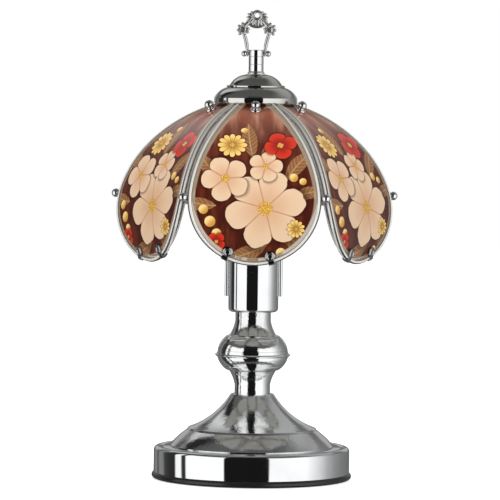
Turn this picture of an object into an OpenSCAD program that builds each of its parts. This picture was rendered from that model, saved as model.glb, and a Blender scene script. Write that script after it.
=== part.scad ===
// Touch lamp: chrome stand, six bent glass panels in bright rims, capped by a bail finial.
// Millimetres, +Z up, front towards -Y, origin on the table under the middle of the base.

/* [Base] */
// Radius of the chrome drum
drum_r = 75.5; // [72:0.5:95]
// Height of the drum above the black rim
drum_h = 19.7; // [18:0.1:30]
// Sheet thickness of the drum
drum_wall = 1; // [0.6:0.1:1.6]
// Rounding of the drum's upper edge
drum_edge = 3; // [1.8:0.1:4]
// Height of the black rim under the drum
rim_h = 5.2; // [4.6:0.1:8]
// How far the rim's bead stands out past the drum
rim_bead = 1.5; // [0.5:0.1:3]
// Height of the lip that centres the rim in the drum
rim_lip_h = 3; // [1:0.1:4]
// Thickness of the rim's centring lip
rim_lip_t = 1.8; // [1:0.1:3]
// Thickness of the bottom cover's plate
cover_t = 2; // [1.5:0.1:2.4]
// Thickness of the felt pad
felt_t = 1.4; // [1:0.1:2]
// Clearance around the felt in its recess
felt_clear = 0.2; // [0.1:0.05:0.5]
// How far the felt stands below the rim
felt_proud = 0.4; // [0.2:0.1:0.8]
// Width of the rim's foot around the felt
felt_margin = 5; // [3:0.5:9]
// Radius of the iron weight
weight_r = 66; // [62:0.5:68]
// Thickness of the iron weight
weight_t = 10; // [8:0.1:10.5]
// Clearance of the weight round the cord bushing
weight_clear = 0.5; // [0.3:0.1:1]
// Radius of the circle on which the cover screws stand
cover_screw_pcr = 52; // [48:0.5:56]
// Shank radius of a cover screw
cover_screw_r = 1.75; // [1.25:0.05:2.5]
// Head radius of a cover screw
cover_head_r = 3.4; // [3:0.1:4.2]
// How far a cover screw threads into the weight
cover_screw_bite = 7; // [4:0.5:7.5]
// Wall of a screw boss around its screw
boss_wall = 2.2; // [1.4:0.1:3.2]
// Bore radius of the cord bushing
bushing_bore_r = 3.3; // [2.5:0.1:3.6]
// Wall of the cord bushing in the drum's hole
bushing_wall = 1.6; // [1:0.1:2]
// How far the bushing's flanges reach past its hole
bushing_flange = 1.5; // [1:0.1:1.8]
// Thickness of the bushing's outer flange
bushing_flange_t = 1.8; // [1:0.1:3]
// Thickness of the bushing's inner flange
bushing_inner_t = 1.4; // [0.8:0.1:2]
// Bevel of the bushing's outer flange
bushing_bevel = 0.6; // [0.2:0.1:0.9]

/* [Bell] */
// Height of the bell on the drum
bell_h = 40.7; // [34:0.1:50]
// Radius of the bell's foot
bell_foot_r = 63; // [56:0.5:68]
// Height of the upright band at the bell's foot
bell_band_h = 1; // [0.8:0.1:5]
// Radius of the step in the bell
bell_step_r = 50.2; // [46:0.1:53]
// Height of the step above the drum
bell_step_h = 12.8; // [10:0.1:15]
// Rise of the step's rounded edge
bell_bead_h = 1.6; // [1:0.1:2.5]
// Width of the step's rounded edge
bell_bead_w = 1; // [0.6:0.1:2]
// Radius of the skirt's curve below the step
bell_skirt_curve = 60; // [12:1:90]
// Bevel of the bell's top
bell_bevel = 0.6; // [0.3:0.1:1]
// Radius of the bell's top
bell_top_r = 17; // [15.5:0.1:20]
// Radius of the bell's hollow flare
bell_flare_r = 62; // [50:1:140]
// Sheet thickness of the bell, neck and socket cup
spun_wall = 0.8; // [0.5:0.1:1.2]

/* [Neck] */
// Radius of the neck's tubes
neck_tube_r = 13.7; // [12:0.1:15]
// Radius of the bowls at the neck's middle
bowl_r = 27.2; // [25.5:0.1:29]
// Radius of the ledge where a bowl meets its flare
ledge_r = 20.4; // [19.4:0.1:22]
// Height of the upright band at each bowl's edge
bowl_band_h = 1; // [0.8:0.1:2]
// Width of that ledge
ledge_w = 2.3; // [1.2:0.1:3]
// Rise of that ledge
ledge_rise = 0.7; // [0.3:0.1:1.5]
// Height of the lower half of the neck
neck_lower_h = 29; // [24:0.1:36]
// Height of the lower bowl
lower_bowl_h = 10.4; // [8:0.1:12]
// Height of the upper half of the neck
neck_upper_h = 31.9; // [27:0.1:40]
// Height of the upper bowl
upper_bowl_h = 13.6; // [11:0.1:15]
// Height of the flare above or below each ledge
neck_flare_h = 11.5; // [8:0.1:12]
// Radius of a bowl's curve
bowl_curve = 17.5; // [13:0.1:30]
// Radius of a flare's curve
neck_flare_curve = 30; // [14:0.5:60]
// Radius of the ring between the two halves
ring_r = 29.2; // [28.4:0.1:33]
// Thickness of that ring
ring_h = 2.2; // [1.6:0.1:4]

/* [Pipe and nuts] */
// Outer radius of the threaded pipe
pipe_r = 4.85; // [4.5:0.05:5.5]
// Wall of the threaded pipe
pipe_wall = 1.2; // [0.8:0.1:1.4]
// How far the pipe reaches below its lower nut
pipe_tail = 1.2; // [0.5:0.1:2]
// Size of the pipe nuts across their flats
nut_flats = 14; // [13:0.5:16]
// Thickness of a pipe nut
nut_h = 4; // [2.5:0.1:4]
// Radius of the washer under the weight
washer_r = 10; // [9.5:0.1:13]
// Thickness of that washer
washer_t = 1; // [0.6:0.1:1.5]
// Clearance of a hole around the pipe
pipe_clear = 0.2; // [0.1:0.05:0.4]
// Clearance between a thread and its nut
thread_clear = 0.05; // [0.02:0.01:0.1]

/* [Socket] */
// Outer radius of the socket cup
cup_r = 19.25; // [18.8:0.05:22]
// Height of the socket cup
cup_h = 57; // [55:0.5:70]
// Rounding of the cup's lower corner
cup_corner = 3; // [1.5:0.1:5]
// Height of the holder's threaded boss
holder_boss_h = 10; // [7:0.1:14]
// Wall of the holder's boss around the pipe
holder_boss_wall = 2.6; // [1.6:0.1:4]
// Thickness of the holder's plate
holder_plate_t = 1.5; // [1:0.1:2.5]
// How far the plate stays inside the socket's edge
holder_margin = 1; // [0.5:0.1:2]
// Outer radius of the porcelain socket
socket_r = 16.8; // [16.4:0.1:17.4]
// Thickness of the socket's floor
socket_floor = 7; // [5.5:0.1:9]
// Depth of the well that takes the bulb's base
well_depth = 30; // [27:0.1:32]
// Depth of the wiring space under the socket's floor
wire_space_h = 3.2; // [2.4:0.1:3.8]
// Radius of the wiring space
wire_space_r = 6; // [5:0.1:7]
// Sheet thickness of the brass screw shell and contact
brass_t = 0.6; // [0.4:0.05:0.8]
// Clearance of the brass shell in its well
shell_clear = 0.1; // [0.05:0.05:0.2]
// How far the brass shell stays below the socket's edge
shell_drop = 1; // [0.5:0.1:3]
// Height of the springy middle contact
contact_h = 5.6; // [4.5:0.1:7]
// Foot radius of the middle contact
contact_r = 4.2; // [3.6:0.1:4.6]
// Bevel at the middle contact's top
contact_bevel = 1; // [0.6:0.1:1.4]
// Clear width between the contact and the screw shell
contact_room = 1.6; // [1:0.1:2]
// Radius of the circle on which the socket screws stand
socket_screw_pcr = 10.4; // [10:0.1:10.8]
// Shank radius of a socket screw
socket_screw_r = 1.4; // [1.2:0.05:1.5]
// Head radius of a socket screw
socket_head_r = 2.5; // [2.2:0.1:2.6]
// Head height of a socket screw
socket_head_h = 1.6; // [1:0.1:2]

/* [Bulb] */
// Radius of the bulb's screw base
bulb_base_r = 13.1; // [12.8:0.05:13.4]
// Clearance between the bulb's base and the screw shell
bulb_clear = 0.5; // [0.3:0.05:0.7]
// Height of the screw base above its insulator
bulb_base_h = 22; // [19:0.1:24]
// Height of the black insulator with its tip
bulb_insulator_h = 3.6; // [2.5:0.1:5]
// Height of the taper at the foot of the screw base
bulb_taper_h = 3; // [2:0.1:4]
// Width of that taper
bulb_taper_w = 3.4; // [2.8:0.1:4]
// Radius of the bulb's glass
bulb_r = 24; // [20:0.5:28]
// Height of the bulb's middle above its screw base
bulb_rise = 39; // [34:0.5:48]
// Length of straight glass neck above the screw base
bulb_neck_h = 2; // [1:0.1:4]
// Radius of the hollow curve from neck to globe
bulb_curve = 33; // [20:0.5:34]
// Thickness of the bulb's glass
bulb_t = 0.8; // [0.5:0.1:1.2]
// How far the glass neck sits in its screw base
bulb_sink = 8; // [5:0.5:12]
// Radius of the filament stem
stem_r = 3.2; // [2.4:0.1:5]
// Height of the stem's flared foot
stem_flare_h = 9; // [6:0.5:14]
// Height of the filament above the glass neck's lower end
filament_h = 44; // [38:0.5:50]
// Free height of the filament's supports above the stem
filament_legs = 14; // [12:0.5:18]
// How far the supports sit in the stem
filament_bite = 6; // [3:0.5:8]
// Half length of the filament
filament_half = 8; // [5:0.5:12]
// Radius of a filament support wire
filament_wire_r = 0.5; // [0.4:0.05:0.8]

/* [Harp] */
// Radius of the harp's wire
harp_wire_r = 1.5; // [1.2:0.05:2]
// Weld gap between a leg and the socket cup
harp_gap = 0.05; // [0.02:0.01:0.1]
// Height of the legs' lower ends above the cup's floor
harp_foot = 12; // [6:0.5:30]
// Height of the harp's top bar above the cup's lower face
harp_h = 152.4; // [145:0.1:175]
// Half width of the harp's bow
harp_bow = 34; // [32:0.5:40]
// Height in which the legs swing out to the bow
harp_swing_h = 32; // [24:0.5:34]
// Radius of the bends in the swing
harp_bend = 24; // [16:0.5:30]
// Height of the harp's arch
harp_arch_h = 44; // [36:0.5:48]
// Half length of the straight top bar
harp_flat = 9; // [8.5:0.1:12]
// Radius of the saddle on the top bar
saddle_r = 7; // [5.5:0.1:8]
// How far the saddle stands above and below the bar's middle
saddle_half = 3.5; // [2.6:0.1:5]
// Radius of the threaded shade stud
stud_r = 3; // [2.5:0.05:3.3]

/* [Shade] */
// Largest distance of a panel's face from the axis
panel_reach = 94.9; // [93:0.1:104]
// Radius of the panel's upright bend
panel_bend = 96.5; // [92:0.5:104]
// Radius of the panel's round lower end
panel_r = 49.4; // [46:0.1:50]
// Radius of the panel's long flanks
flank_r = 104; // [96:0.5:116]
// Angle above level at which a flank leaves the round end
flank_angle = 8.7; // [6:0.1:11]
// Depth of the round end's middle below the hub
panel_drop = 67.4; // [65:0.1:72]
// Thickness of the glass
glass_t = 2.5; // [2:0.1:3]
// Width of the rim's lips on the glass
panel_rim_w = 2.4; // [1.4:0.1:3]
// Sheet thickness of the rim
panel_rim_t = 0.5; // [0.4:0.05:0.7]
// Clearance of the glass in its rim
glass_clear = 0.05; // [0.02:0.01:0.1]
// Half of the least gap kept between neighbouring panels
panel_gap = 1.2; // [0.8:0.1:2]
// Radius of the hub's disc
hub_r = 26.5; // [24:0.1:27.5]
// Thickness of the hub's disc
hub_t = 1.6; // [1.2:0.1:2.2]
// Thickness of the hub's tabs
tab_t = 1.2; // [0.8:0.1:1.6]
// Width of a tab
tab_w = 10; // [8:0.1:14]
// How far a tab laps into the hub's disc
tab_lap = 2.5; // [1.5:0.1:4]
// Gap between a tab and the glass above it
tab_gap = 0.3; // [0.1:0.05:0.5]
// How far a tab reaches past its screw
tab_tail = 5; // [4:0.1:8]
// Width of a rib
rib_w = 7; // [5.5:0.1:9]
// Thickness of a rib
rib_t = 1.5; // [1:0.1:2]
// Thickness of a rib's foot on the hub
rib_foot_t = 1.2; // [0.8:0.1:1.5]
// Gap between a rib and the rims it carries
rib_gap = 0.5; // [0.3:0.05:0.9]
// Length of a rib's foot on the hub
rib_foot = 7; // [5:0.1:10]
// How far a rib reaches below its screw
rib_tail = 5; // [4:0.1:8]

/* [Shade fittings] */
// Distance of the top screws from the axis
top_screw_d = 39.2; // [37.5:0.1:44]
// Shank radius of a top screw
top_screw_r = 1.6; // [1.2:0.05:2]
// Clearance of a screw in its hole
screw_clear = 0.3; // [0.15:0.05:0.5]
// Head radius of a shade screw
shade_head_r = 3; // [2.7:0.1:3.6]
// Head height of a shade screw
shade_head_h = 1.5; // [1:0.1:2]
// Radius of a top knob's collar
top_collar_r = 4.2; // [3:0.1:4.8]
// Height of a top knob's collar
top_collar_h = 2; // [1.4:0.1:4]
// Bevel of a top knob's collar
top_collar_bevel = 0.8; // [0.3:0.1:1]
// Radius of a top knob's waist
top_waist_r = 2.6; // [2.1:0.1:2.8]
// Radius of a ball on a top knob
top_ball_r = 3.4; // [3:0.1:4]
// Height of the ball's middle above the glass
top_ball_h = 4.5; // [4:0.1:9]
// Gap under a knob
knob_gap = 0.1; // [0.05:0.05:0.3]
// Height of the side knobs above the panels' round middle
side_rise = 0.6; // [0:0.1:3]
// Radius of a ball on a side knob
side_ball_r = 3.3; // [2.8:0.1:4]
// Clearance between a side knob's ball and the rims it lies between
side_fit = 0.1; // [0.05:0.05:0.3]
// Metal left over the screw's end in a side knob
side_roof = 1.3; // [0.8:0.1:2]
// Shank radius of a side screw
side_screw_r = 1.1; // [0.9:0.05:1.2]
// Gap under a side screw's head
side_gap = 0.3; // [0.2:0.05:0.6]
// Distance of a bottom clip from the panel's middle
clip_offset = 18; // [12:0.5:26]
// Half width of a bottom clip
clip_half_w = 4.1; // [2.5:0.1:4.8]
// Length of a bottom clip up the glass
clip_length = 10; // [7.5:0.1:12]
// How much shorter a clip's inner tab is
clip_short = 2; // [0.5:0.1:3]
// Half width of a clip at its bend
clip_bend_half = 2.3; // [1.4:0.1:3]
// Sheet thickness of a bottom clip
clip_t = 0.8; // [0.5:0.1:1.1]
// Gap between a clip and the rim it grips
clip_gap = 0.1; // [0.05:0.05:0.2]

/* [Cap and crown] */
// Radius of the shade cap
cap_r = 32; // [30.5:0.1:33]
// Height of the cap's upright lip
cap_lip_h = 5.3; // [4:0.1:7]
// Height of the cap
cap_h = 13.5; // [11.5:0.1:16]
// Radius of the cap's flat top
cap_top_r = 23.4; // [22.8:0.1:26]
// Radius of the cap's dome
cap_curve = 15; // [9:0.1:30]
// Sheet thickness of the cap and crown
cap_wall = 0.8; // [0.5:0.1:1.2]
// Gap between the cap's lip and the glass
cap_gap = 0.3; // [0.15:0.05:0.6]
// How far the lip's foot is drawn in
cap_tuck = 1.2; // [0.6:0.1:1.6]
// Height of the drawn-in part of the lip
cap_tuck_h = 2.8; // [2:0.1:3.6]
// How far the lip's foot stands over the middle of a panel
cap_rise = 0.65; // [0.4:0.05:1]
// Rounding of the cap's and the crown's edges
cap_bevel = 0.5; // [0.2:0.1:0.7]
// Radius of the crown's flange
crown_flange_r = 22.4; // [21.6:0.1:22.8]
// Thickness of the crown's flange
crown_flange_t = 1.6; // [1.2:0.1:2.4]
// Foot radius of the crown's dome
crown_r = 20.2; // [18:0.1:21]
// Height of the crown
crown_h = 10.2; // [8:0.1:14]
// Rise of the dome's foot above the flange
crown_rise = 0.3; // [0.1:0.1:0.8]
// Radius of the crown's flat top
crown_top_r = 8.6; // [7.5:0.1:11]
// Radius of the crown's dome
crown_curve = 16; // [9.5:0.1:30]
// Wall of the spacer on the stud
spacer_wall = 2.4; // [1.5:0.1:4]
// Clearance around the stud
stud_clear = 0.3; // [0.2:0.05:0.5]

/* [Finial] */
// Radius of the crown tube
tube_r = 5.75; // [5.3:0.05:6.5]
// Height of the crown tube
tube_h = 18.4; // [15:0.1:24]
// Radius of the tube's flared foot
tube_foot_r = 6.6; // [6.5:0.1:7.5]
// Height of the tube's flared foot
tube_foot_h = 1.8; // [1:0.1:3]
// Depth of the bail's pin below the tube's top
pin_depth = 2.9; // [2.4:0.1:4]
// Radius of the bail's pin
pin_r = 1.2; // [1:0.05:1.4]
// Running clearance of the pin in the bail's eyes
pin_clear = 0.06; // [0.03:0.01:0.09]
// Radius of the balls on the pin
pin_ball_r = 2.3; // [2:0.05:2.8]
// Radius of the flat that each ball turns to the bail
pin_flat_r = 1.5; // [1.45:0.05:1.9]
// Gap between the bail and the pieces beside it
bail_gap = 0.3; // [0.2:0.05:0.4]
// Thickness of the bail's eyes along the pin
bail_eye_t = 1; // [0.8:0.1:1.4]
// Radius of the bail's eyes
bail_eye_r = 2.3; // [2:0.1:2.5]
// Radius of the arms' outer curve
bail_arm_curve = 50; // [48:0.5:80]
// Radius of the arch's outer curve
bail_arch_curve = 12; // [9:0.5:20]
// Half thickness of the arch's bars
bail_arch_half = 1; // [0.7:0.1:1.4]
// Thickness of the bail from front to back
bail_t = 3; // [2.2:0.1:4]
// Width of the bail's arms
bail_arm_w = 2.2; // [1.6:0.1:2.6]
// Height of the leaf knots above the pin
knot_h = 18; // [16.5:0.1:20]
// Distance of the leaf knots from the middle
knot_x = 10.2; // [9.6:0.1:12]
// Radius of a leaf knot's middle
knot_r = 2.8; // [2.2:0.1:3.4]
// Distance of a leaf's tip from its knot
leaf_reach = 4.2; // [3.4:0.1:4.6]
// Radius of a leaf's tip
leaf_r = 1.5; // [1.2:0.1:1.9]
// Half width of a leaf's stalk
stalk_half = 1; // [0.7:0.1:1.2]
// Height of the shell's eye above the pin
shell_h = 29.4; // [28.6:0.1:32]
// Radius of the round shell
shell_r = 4.7; // [4.2:0.1:5.4]
// Radius of the shell's eye
shell_eye_r = 2; // [1.4:0.1:2.4]
// Half width of the shell's foot
shell_foot_half = 5.6; // [5:0.1:6.2]
// Depth of the shell's foot below its eye
shell_foot_drop = 9; // [8:0.1:9.6]
// Bevel of the shell's foot
shell_bevel = 1.2; // [0.6:0.1:1.6]
// Radius of the shell's side scrolls
scroll_r = 1.7; // [1.2:0.1:2]
// Depth of the side scrolls below the eye
scroll_drop = 1.4; // [0.8:0.1:2]

/* [Wiring] */
// Length of the touch module across the lamp
module_w = 44; // [36:0.5:50]
// Depth of the touch module from front to back
module_d = 24; // [18:0.5:28]
// Height of the touch module
module_h = 8; // [6:0.1:9]
// Distance of the module's middle from the axis
module_y = 33; // [31:0.5:38]
// Radius of a lamp lead
lead_r = 0.9; // [0.6:0.05:1]
// Distance of each lamp lead from the axis
lead_x = 1.3; // [1.1:0.05:1.5]
// Radius of the bends in a lead
lead_bend = 6; // [4.5:0.1:7]
// Radius of the bend in the sensing lead
touch_bend = 2.4; // [1.6:0.1:3]
// Gap between a lead and what it runs over or ends at
lead_gap = 0.3; // [0.2:0.05:0.5]

/* [Hidden] */
$fn = 96;
arc_steps = 10;
wire_sides = 8;
harp_sides = 12;
panels = 6;
half_pitch = 180 / panels;

// Overlap where two shapes of one piece join
weld = 0.1;
// How far a cutting shape runs past what it cuts
over = 1;

// Colours
chrome = [0.78, 0.80, 0.82];
black = [0.08, 0.08, 0.09];
iron = [0.30, 0.30, 0.31];
steel = [0.55, 0.56, 0.58];
brass = [0.80, 0.62, 0.25];
porcelain = [0.94, 0.93, 0.90];
felt_green = [0.12, 0.14, 0.12];
amber_glass = [0.86, 0.62, 0.46];
frosted = [0.96, 0.95, 0.92];
lead_grey = [0.62, 0.62, 0.64];

// Heights of the stand, from the table up
z_cover = felt_t + cover_t;
z_drum = rim_h + drum_h;
z_weight = z_drum - drum_wall - weight_t;
z_lower_nut = z_weight - washer_t - nut_h;
z_pipe = z_lower_nut - pipe_tail;
z_bushing = rim_h + drum_h / 2;
bushing_flange_r = bushing_bore_r + bushing_wall + bushing_flange;
bushing_wall_y = sqrt(pow(drum_r - drum_wall, 2) - pow(bushing_flange_r, 2));
bushing_face_y = bushing_wall_y - bushing_inner_t;
z_bell = z_drum + bell_h;
z_ring = z_bell + neck_lower_h;
z_upper = z_ring + ring_h;
z_cup = z_upper + neck_upper_h;
z_upper_nut = z_cup + spun_wall;
z_holder = z_upper_nut + nut_h;
z_pipe_top = z_holder + holder_boss_h;
z_socket = z_pipe_top + holder_plate_t;
z_well = z_socket + socket_floor;
z_contact = z_well + contact_h;

// Heights and radii of the bulb
bulb_seat_gap = 0.3;
z_tip = z_contact + bulb_seat_gap;
z_base = z_tip + bulb_insulator_h;
z_neck = z_base + bulb_base_h;
z_globe = z_neck + bulb_rise;
z_sink = z_neck - bulb_sink;
z_filament = z_sink + filament_h;
bulb_base_wall = 0.4;
bulb_fit = 0.1;
bulb_neck_r = bulb_base_r - bulb_base_wall - bulb_fit;
bulb_tip_r = 3.4;
bulb_tip_bevel = 0.8;
stem_foot_t = 1.2;
shell_in_r = bulb_base_r + bulb_clear;
well_r = shell_in_r + brass_t + shell_clear;

// The harp and the seat of the shade
pipe_hole_r = pipe_r + pipe_clear;
leg_x = cup_r + harp_gap + harp_wire_r;
z_leg = z_cup + cup_h;
z_bar = z_cup + harp_h;
z_saddle = z_bar + saddle_half;
seat_gap = 0.3;
z_hub = z_saddle + seat_gap;
z_hub_top = z_hub + hub_t;

// The panels' bend: its middle lies so far in that the hub's tabs run into the hub's disc
bend_d = panel_reach - panel_bend;
tab_mid = panel_bend - glass_t - tab_gap - tab_t / 2;
z_bend = z_hub + hub_t / 2 - sqrt(pow(tab_mid, 2) - pow(hub_r - tab_lap - bend_d, 2));
z_round = z_hub + hub_t / 2 - panel_drop;
flank_x = -(flank_r - panel_r) * cos(flank_angle);
flank_z = z_round - (flank_r - panel_r) * sin(flank_angle);
rim_depth = glass_t + glass_clear + panel_rim_t;
rim_rise = glass_clear + panel_rim_t;
z_side = z_round + side_rise;
panel_far = panel_reach + panel_r;
z_panel_low = z_round - panel_r - clip_length;
z_panel_high = z_hub + cap_h;
panel_span = z_panel_high - z_panel_low;

// Distance from the axis, and height, of the surface that lies s outside a panel's face
function face_d(z, s) = bend_d + sqrt(pow(panel_bend + s, 2) - pow(z - z_bend, 2));
function face_z(d, s) = z_bend + sqrt(pow(panel_bend + s, 2) - pow(d - bend_d, 2));
// Half width of a panel at a height on its flanks or its round end, grown by g
function half_w(z, g) = z > z_round + panel_r * sin(flank_angle)
  ? flank_x + sqrt(pow(flank_r + g, 2) - pow(z - flank_z, 2))
  : sqrt(pow(panel_r + g, 2) - pow(z - z_round, 2));
// Half width of a rim at a height, kept out of the gap to the next panel
function rim_half(z, s) =
  min(half_w(z, rim_rise), (face_d(z, s) * sin(half_pitch) - panel_gap + rim_rise) / cos(half_pitch));
// Distance of a rim's corner from the axis along the gap between two panels, and from the gap's middle
function corner_rho(z, s) = face_d(z, s) * cos(half_pitch) + rim_half(z, s) * sin(half_pitch);
function corner_off(z, s) = face_d(z, s) * sin(half_pitch) - rim_half(z, s) * cos(half_pitch);

// Cap, crown and finial
cap_foot_r = cap_r - cap_tuck;
z_cap = face_z(cap_foot_r, 0) + cap_rise;
z_crown = z_cap + cap_h;
z_tube = z_crown + crown_h + seat_gap;
z_tube_top = z_tube + tube_h;
z_pin = z_tube_top - pin_depth;
stud_hole_r = stud_r + stud_clear;
z_stud_top = z_pin - 2 * pin_r;
bail_x = tube_r + bail_gap;
pin_flat_x = bail_x + bail_eye_t + bail_gap;
pin_ball_x = pin_flat_x + sqrt(pow(pin_ball_r, 2) - pow(pin_flat_r, 2));

// Ribs lie under the rims on both sides of a gap and start outside the hub's disc
rib_depth = -rim_depth - rib_gap - rib_t;
rib_start = hub_r + seat_gap;
glass_top_r = norm([rib_start + rib_t, rib_w / 2]) + cap_gap;
z_rib_joggle = face_z(rib_start * cos(half_pitch) + rib_w / 2 * sin(half_pitch), rib_depth + rib_t / 2);
side_tilt = asin((z_side - z_bend) / panel_bend);
side_seat = (face_d(z_side, rib_depth) - shade_head_r * sin(half_pitch)) / cos(half_pitch);
side_depth = (corner_rho(z_side, rim_rise) - side_seat) * cos(side_tilt);
// A side knob's ball lies on the corners of two rims, or on the rib where the gap is wide
corner_d = corner_rho(z_side, rim_rise) * cos(half_pitch) - bend_d;
corner_clear = norm([corner_d, z_side - z_bend]) - panel_bend - rib_depth - rib_t;
knob_slope = pow(cos(side_tilt), 2) * cos(half_pitch) + pow(sin(side_tilt), 2);
rib_ball_h = (side_ball_r + side_fit - corner_clear) / knob_slope;
rim_ball_h = sqrt(max(pow(side_ball_r + side_fit, 2) - pow(corner_off(z_side, rim_rise), 2), 0));
side_ball_h = max(rim_ball_h, rib_ball_h);
side_bite = side_ball_h + side_ball_r - side_roof;

// Points along an arc about c from angle a to angle b
function arc(c, r, a, b, n = arc_steps) =
  [for (i = [0:n]) let (t = a + (b - a) * i / n) [c[0] + r * cos(t), c[1] + r * sin(t)]];
// Middle of the arc of radius r from p to q that turns clockwise
function arc_middle(p, q, r) =
  let (m = (p + q) / 2, h = norm(q - p) / 2, u = (q - p) / (2 * h))
  m + sqrt(max(r * r - h * h, 0)) * [u[1], -u[0]];
function angle_of(v) = atan2(v[1], v[0]);
// Points on that arc, bowed to the left of the way from p to q
function bow_left(p, q, r, n = arc_steps) =
  let (c = arc_middle(p, q, r), a = angle_of(p - c), b = angle_of(q - c))
  arc(c, r, a, b > a ? b - 360 : b, n);
function flip(p) = [for (i = [len(p) - 1:-1:0]) p[i]];
// Points on the arc from p to q that is bowed to the right
function bow_right(p, q, r, n = arc_steps) = flip(bow_left(q, p, r, n));
// Smooth S from p to q, upright at both ends, with radius ra at p and rb at q
function ogee(p, q, ra, rb, n = arc_steps) =
  let (a = p + [ra, 0], b = q - [rb, 0], d = b - a,
       turn = angle_of(d) - asin(min((ra + rb) / norm(d), 1)))
  concat(arc(a, ra, 180, turn + 90, n), arc(b, rb, turn - 90, 0, n));
function unit(v) = v / norm(v);
function left_of(v) = [-v[1], v[0]];
// The path moved to its left by t
function beside(p, t) =
  [for (i = [0:len(p) - 1])
    let (a = left_of(unit(p[max(i, 1)] - p[max(i, 1) - 1])),
         j = min(i, len(p) - 2),
         b = left_of(unit(p[j + 1] - p[j])))
    p[i] + t * (a + b) / (1 + a * b)];
function mirrored(p) = [for (q = flip(p)) [-q[0], q[1]]];

// Sheet of revolution whose outer side follows the path and whose wall lies to its left
module spun(path, wall) {
  rotate_extrude() polygon(concat(path, flip(beside(path, wall))));
}

// Tube between two radii
module ring(r, bore, h) {
  difference() {
    cylinder(r = r, h = h);
    translate([0, 0, -over]) cylinder(r = bore, h = h + 2 * over);
  }
}

// Round wire along a path in the XZ plane
module wire(path, r, sides) {
  n = len(path);
  points = [for (i = [0:n - 1])
    let (t = unit(path[min(i + 1, n - 1)] - path[max(i - 1, 0)]), u = left_of(t))
    for (k = [0:sides - 1]) let (a = 360 * k / sides)
      [path[i][0] + r * cos(a) * u[0], r * sin(a), path[i][1] + r * cos(a) * u[1]]];
  walls = [for (i = [0:n - 2]) for (k = [0:sides - 1])
    let (a = i * sides + k, b = i * sides + (k + 1) % sides)
    each [[b, b + sides, a + sides], [b, a + sides, a]]];
  ends = [[for (k = [sides - 1:-1:0]) k], [for (k = [0:sides - 1]) (n - 1) * sides + k]];
  polyhedron(points, concat(walls, ends), convexity = 6);
}

// Hexagon nut on the pipe
module pipe_nut() {
  difference() {
    cylinder(r = nut_flats / 2 / cos(30), h = nut_h, $fn = 6);
    translate([0, 0, -over]) cylinder(r = pipe_r + thread_clear, h = nut_h + 2 * over);
  }
}

// Base

module felt_pad() color(felt_green) {
  cylinder(r = drum_r - felt_margin - felt_clear, h = felt_t);
}

module at_cover_screws() {
  for (a = [30:120:270]) rotate([0, 0, a]) translate([cover_screw_pcr, 0, 0]) children();
}

module bottom_cover() color(black) {
  bead_r = (rim_h - felt_proud) / 2;
  lip_r = drum_r - drum_wall - pipe_clear;
  foot_r = drum_r - felt_margin;
  profile = concat(
    [[0, felt_t], [foot_r, felt_t], [foot_r, felt_proud], [drum_r + rim_bead - bead_r, felt_proud]],
    arc([drum_r + rim_bead - bead_r, felt_proud + bead_r], bead_r, -90, 90),
    [[lip_r, rim_h], [lip_r, rim_h + rim_lip_h], [lip_r - rim_lip_t, rim_h + rim_lip_h],
     [lip_r - rim_lip_t, z_cover], [0, z_cover]]);
  difference() {
    union() {
      rotate_extrude() polygon(profile);
      at_cover_screws() translate([0, 0, felt_t])
        cylinder(r = cover_screw_r + screw_clear + boss_wall, h = z_weight - felt_t);
    }
    at_cover_screws() {
      translate([0, 0, -over]) cylinder(r = cover_screw_r + screw_clear, h = z_weight + 2 * over);
      translate([0, 0, felt_t - over]) cylinder(r = cover_head_r + screw_clear, h = cover_t + over);
    }
  }
}

module cover_screws() color(steel) {
  at_cover_screws() {
    translate([0, 0, felt_t]) cylinder(r = cover_head_r, h = cover_t);
    translate([0, 0, z_cover - weld])
      cylinder(r = cover_screw_r, h = z_weight + cover_screw_bite - z_cover + weld);
  }
}

module base_drum() color(chrome) {
  path = concat(
    [[drum_r, rim_h]],
    arc([drum_r - drum_edge, z_drum - drum_edge], drum_edge, 0, 90),
    [[pipe_hole_r, z_drum]]);
  difference() {
    spun(path, drum_wall);
    translate([0, drum_r / 2, z_bushing]) rotate([-90, 0, 0])
      cylinder(r = bushing_bore_r + bushing_wall + pipe_clear, h = drum_r);
  }
}

// The inner flange clears the curve of the drum's wall
module cord_bushing() color(black) {
  neck_r = bushing_bore_r + bushing_wall;
  face_out = drum_r + bushing_flange_t;
  profile = [[bushing_bore_r, bushing_face_y], [bushing_flange_r, bushing_face_y],
             [bushing_flange_r, bushing_wall_y], [neck_r, bushing_wall_y],
             [neck_r, drum_r], [bushing_flange_r, drum_r],
             [bushing_flange_r - bushing_bevel, face_out], [bushing_bore_r, face_out]];
  translate([0, 0, z_bushing]) rotate([-90, 0, 0]) rotate_extrude() polygon(profile);
}

module base_weight() color(iron) {
  difference() {
    translate([0, 0, z_weight]) ring(weight_r, pipe_hole_r, weight_t);
    at_cover_screws() translate([0, 0, z_weight - over])
      cylinder(r = cover_screw_r + thread_clear, h = cover_screw_bite + 2 * over);
    translate([0, bushing_face_y - weight_clear, z_bushing]) rotate([-90, 0, 0])
      cylinder(r = bushing_flange_r + weight_clear, h = drum_r);
  }
}

module touch_module() color(black) {
  translate([-module_w / 2, module_y - module_d / 2, z_cover]) cube([module_w, module_d, module_h]);
}

// Pipe

module pipe_washer() color(steel) {
  translate([0, 0, z_weight - washer_t]) ring(washer_r, pipe_hole_r, washer_t);
}

module lower_nut() color(steel) {
  translate([0, 0, z_lower_nut]) pipe_nut();
}

module lamp_pipe() color(steel) {
  translate([0, 0, z_pipe]) ring(pipe_r, pipe_r - pipe_wall, z_pipe_top - z_pipe);
}

module upper_nut() color(steel) {
  translate([0, 0, z_upper_nut]) pipe_nut();
}

// Stand

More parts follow.
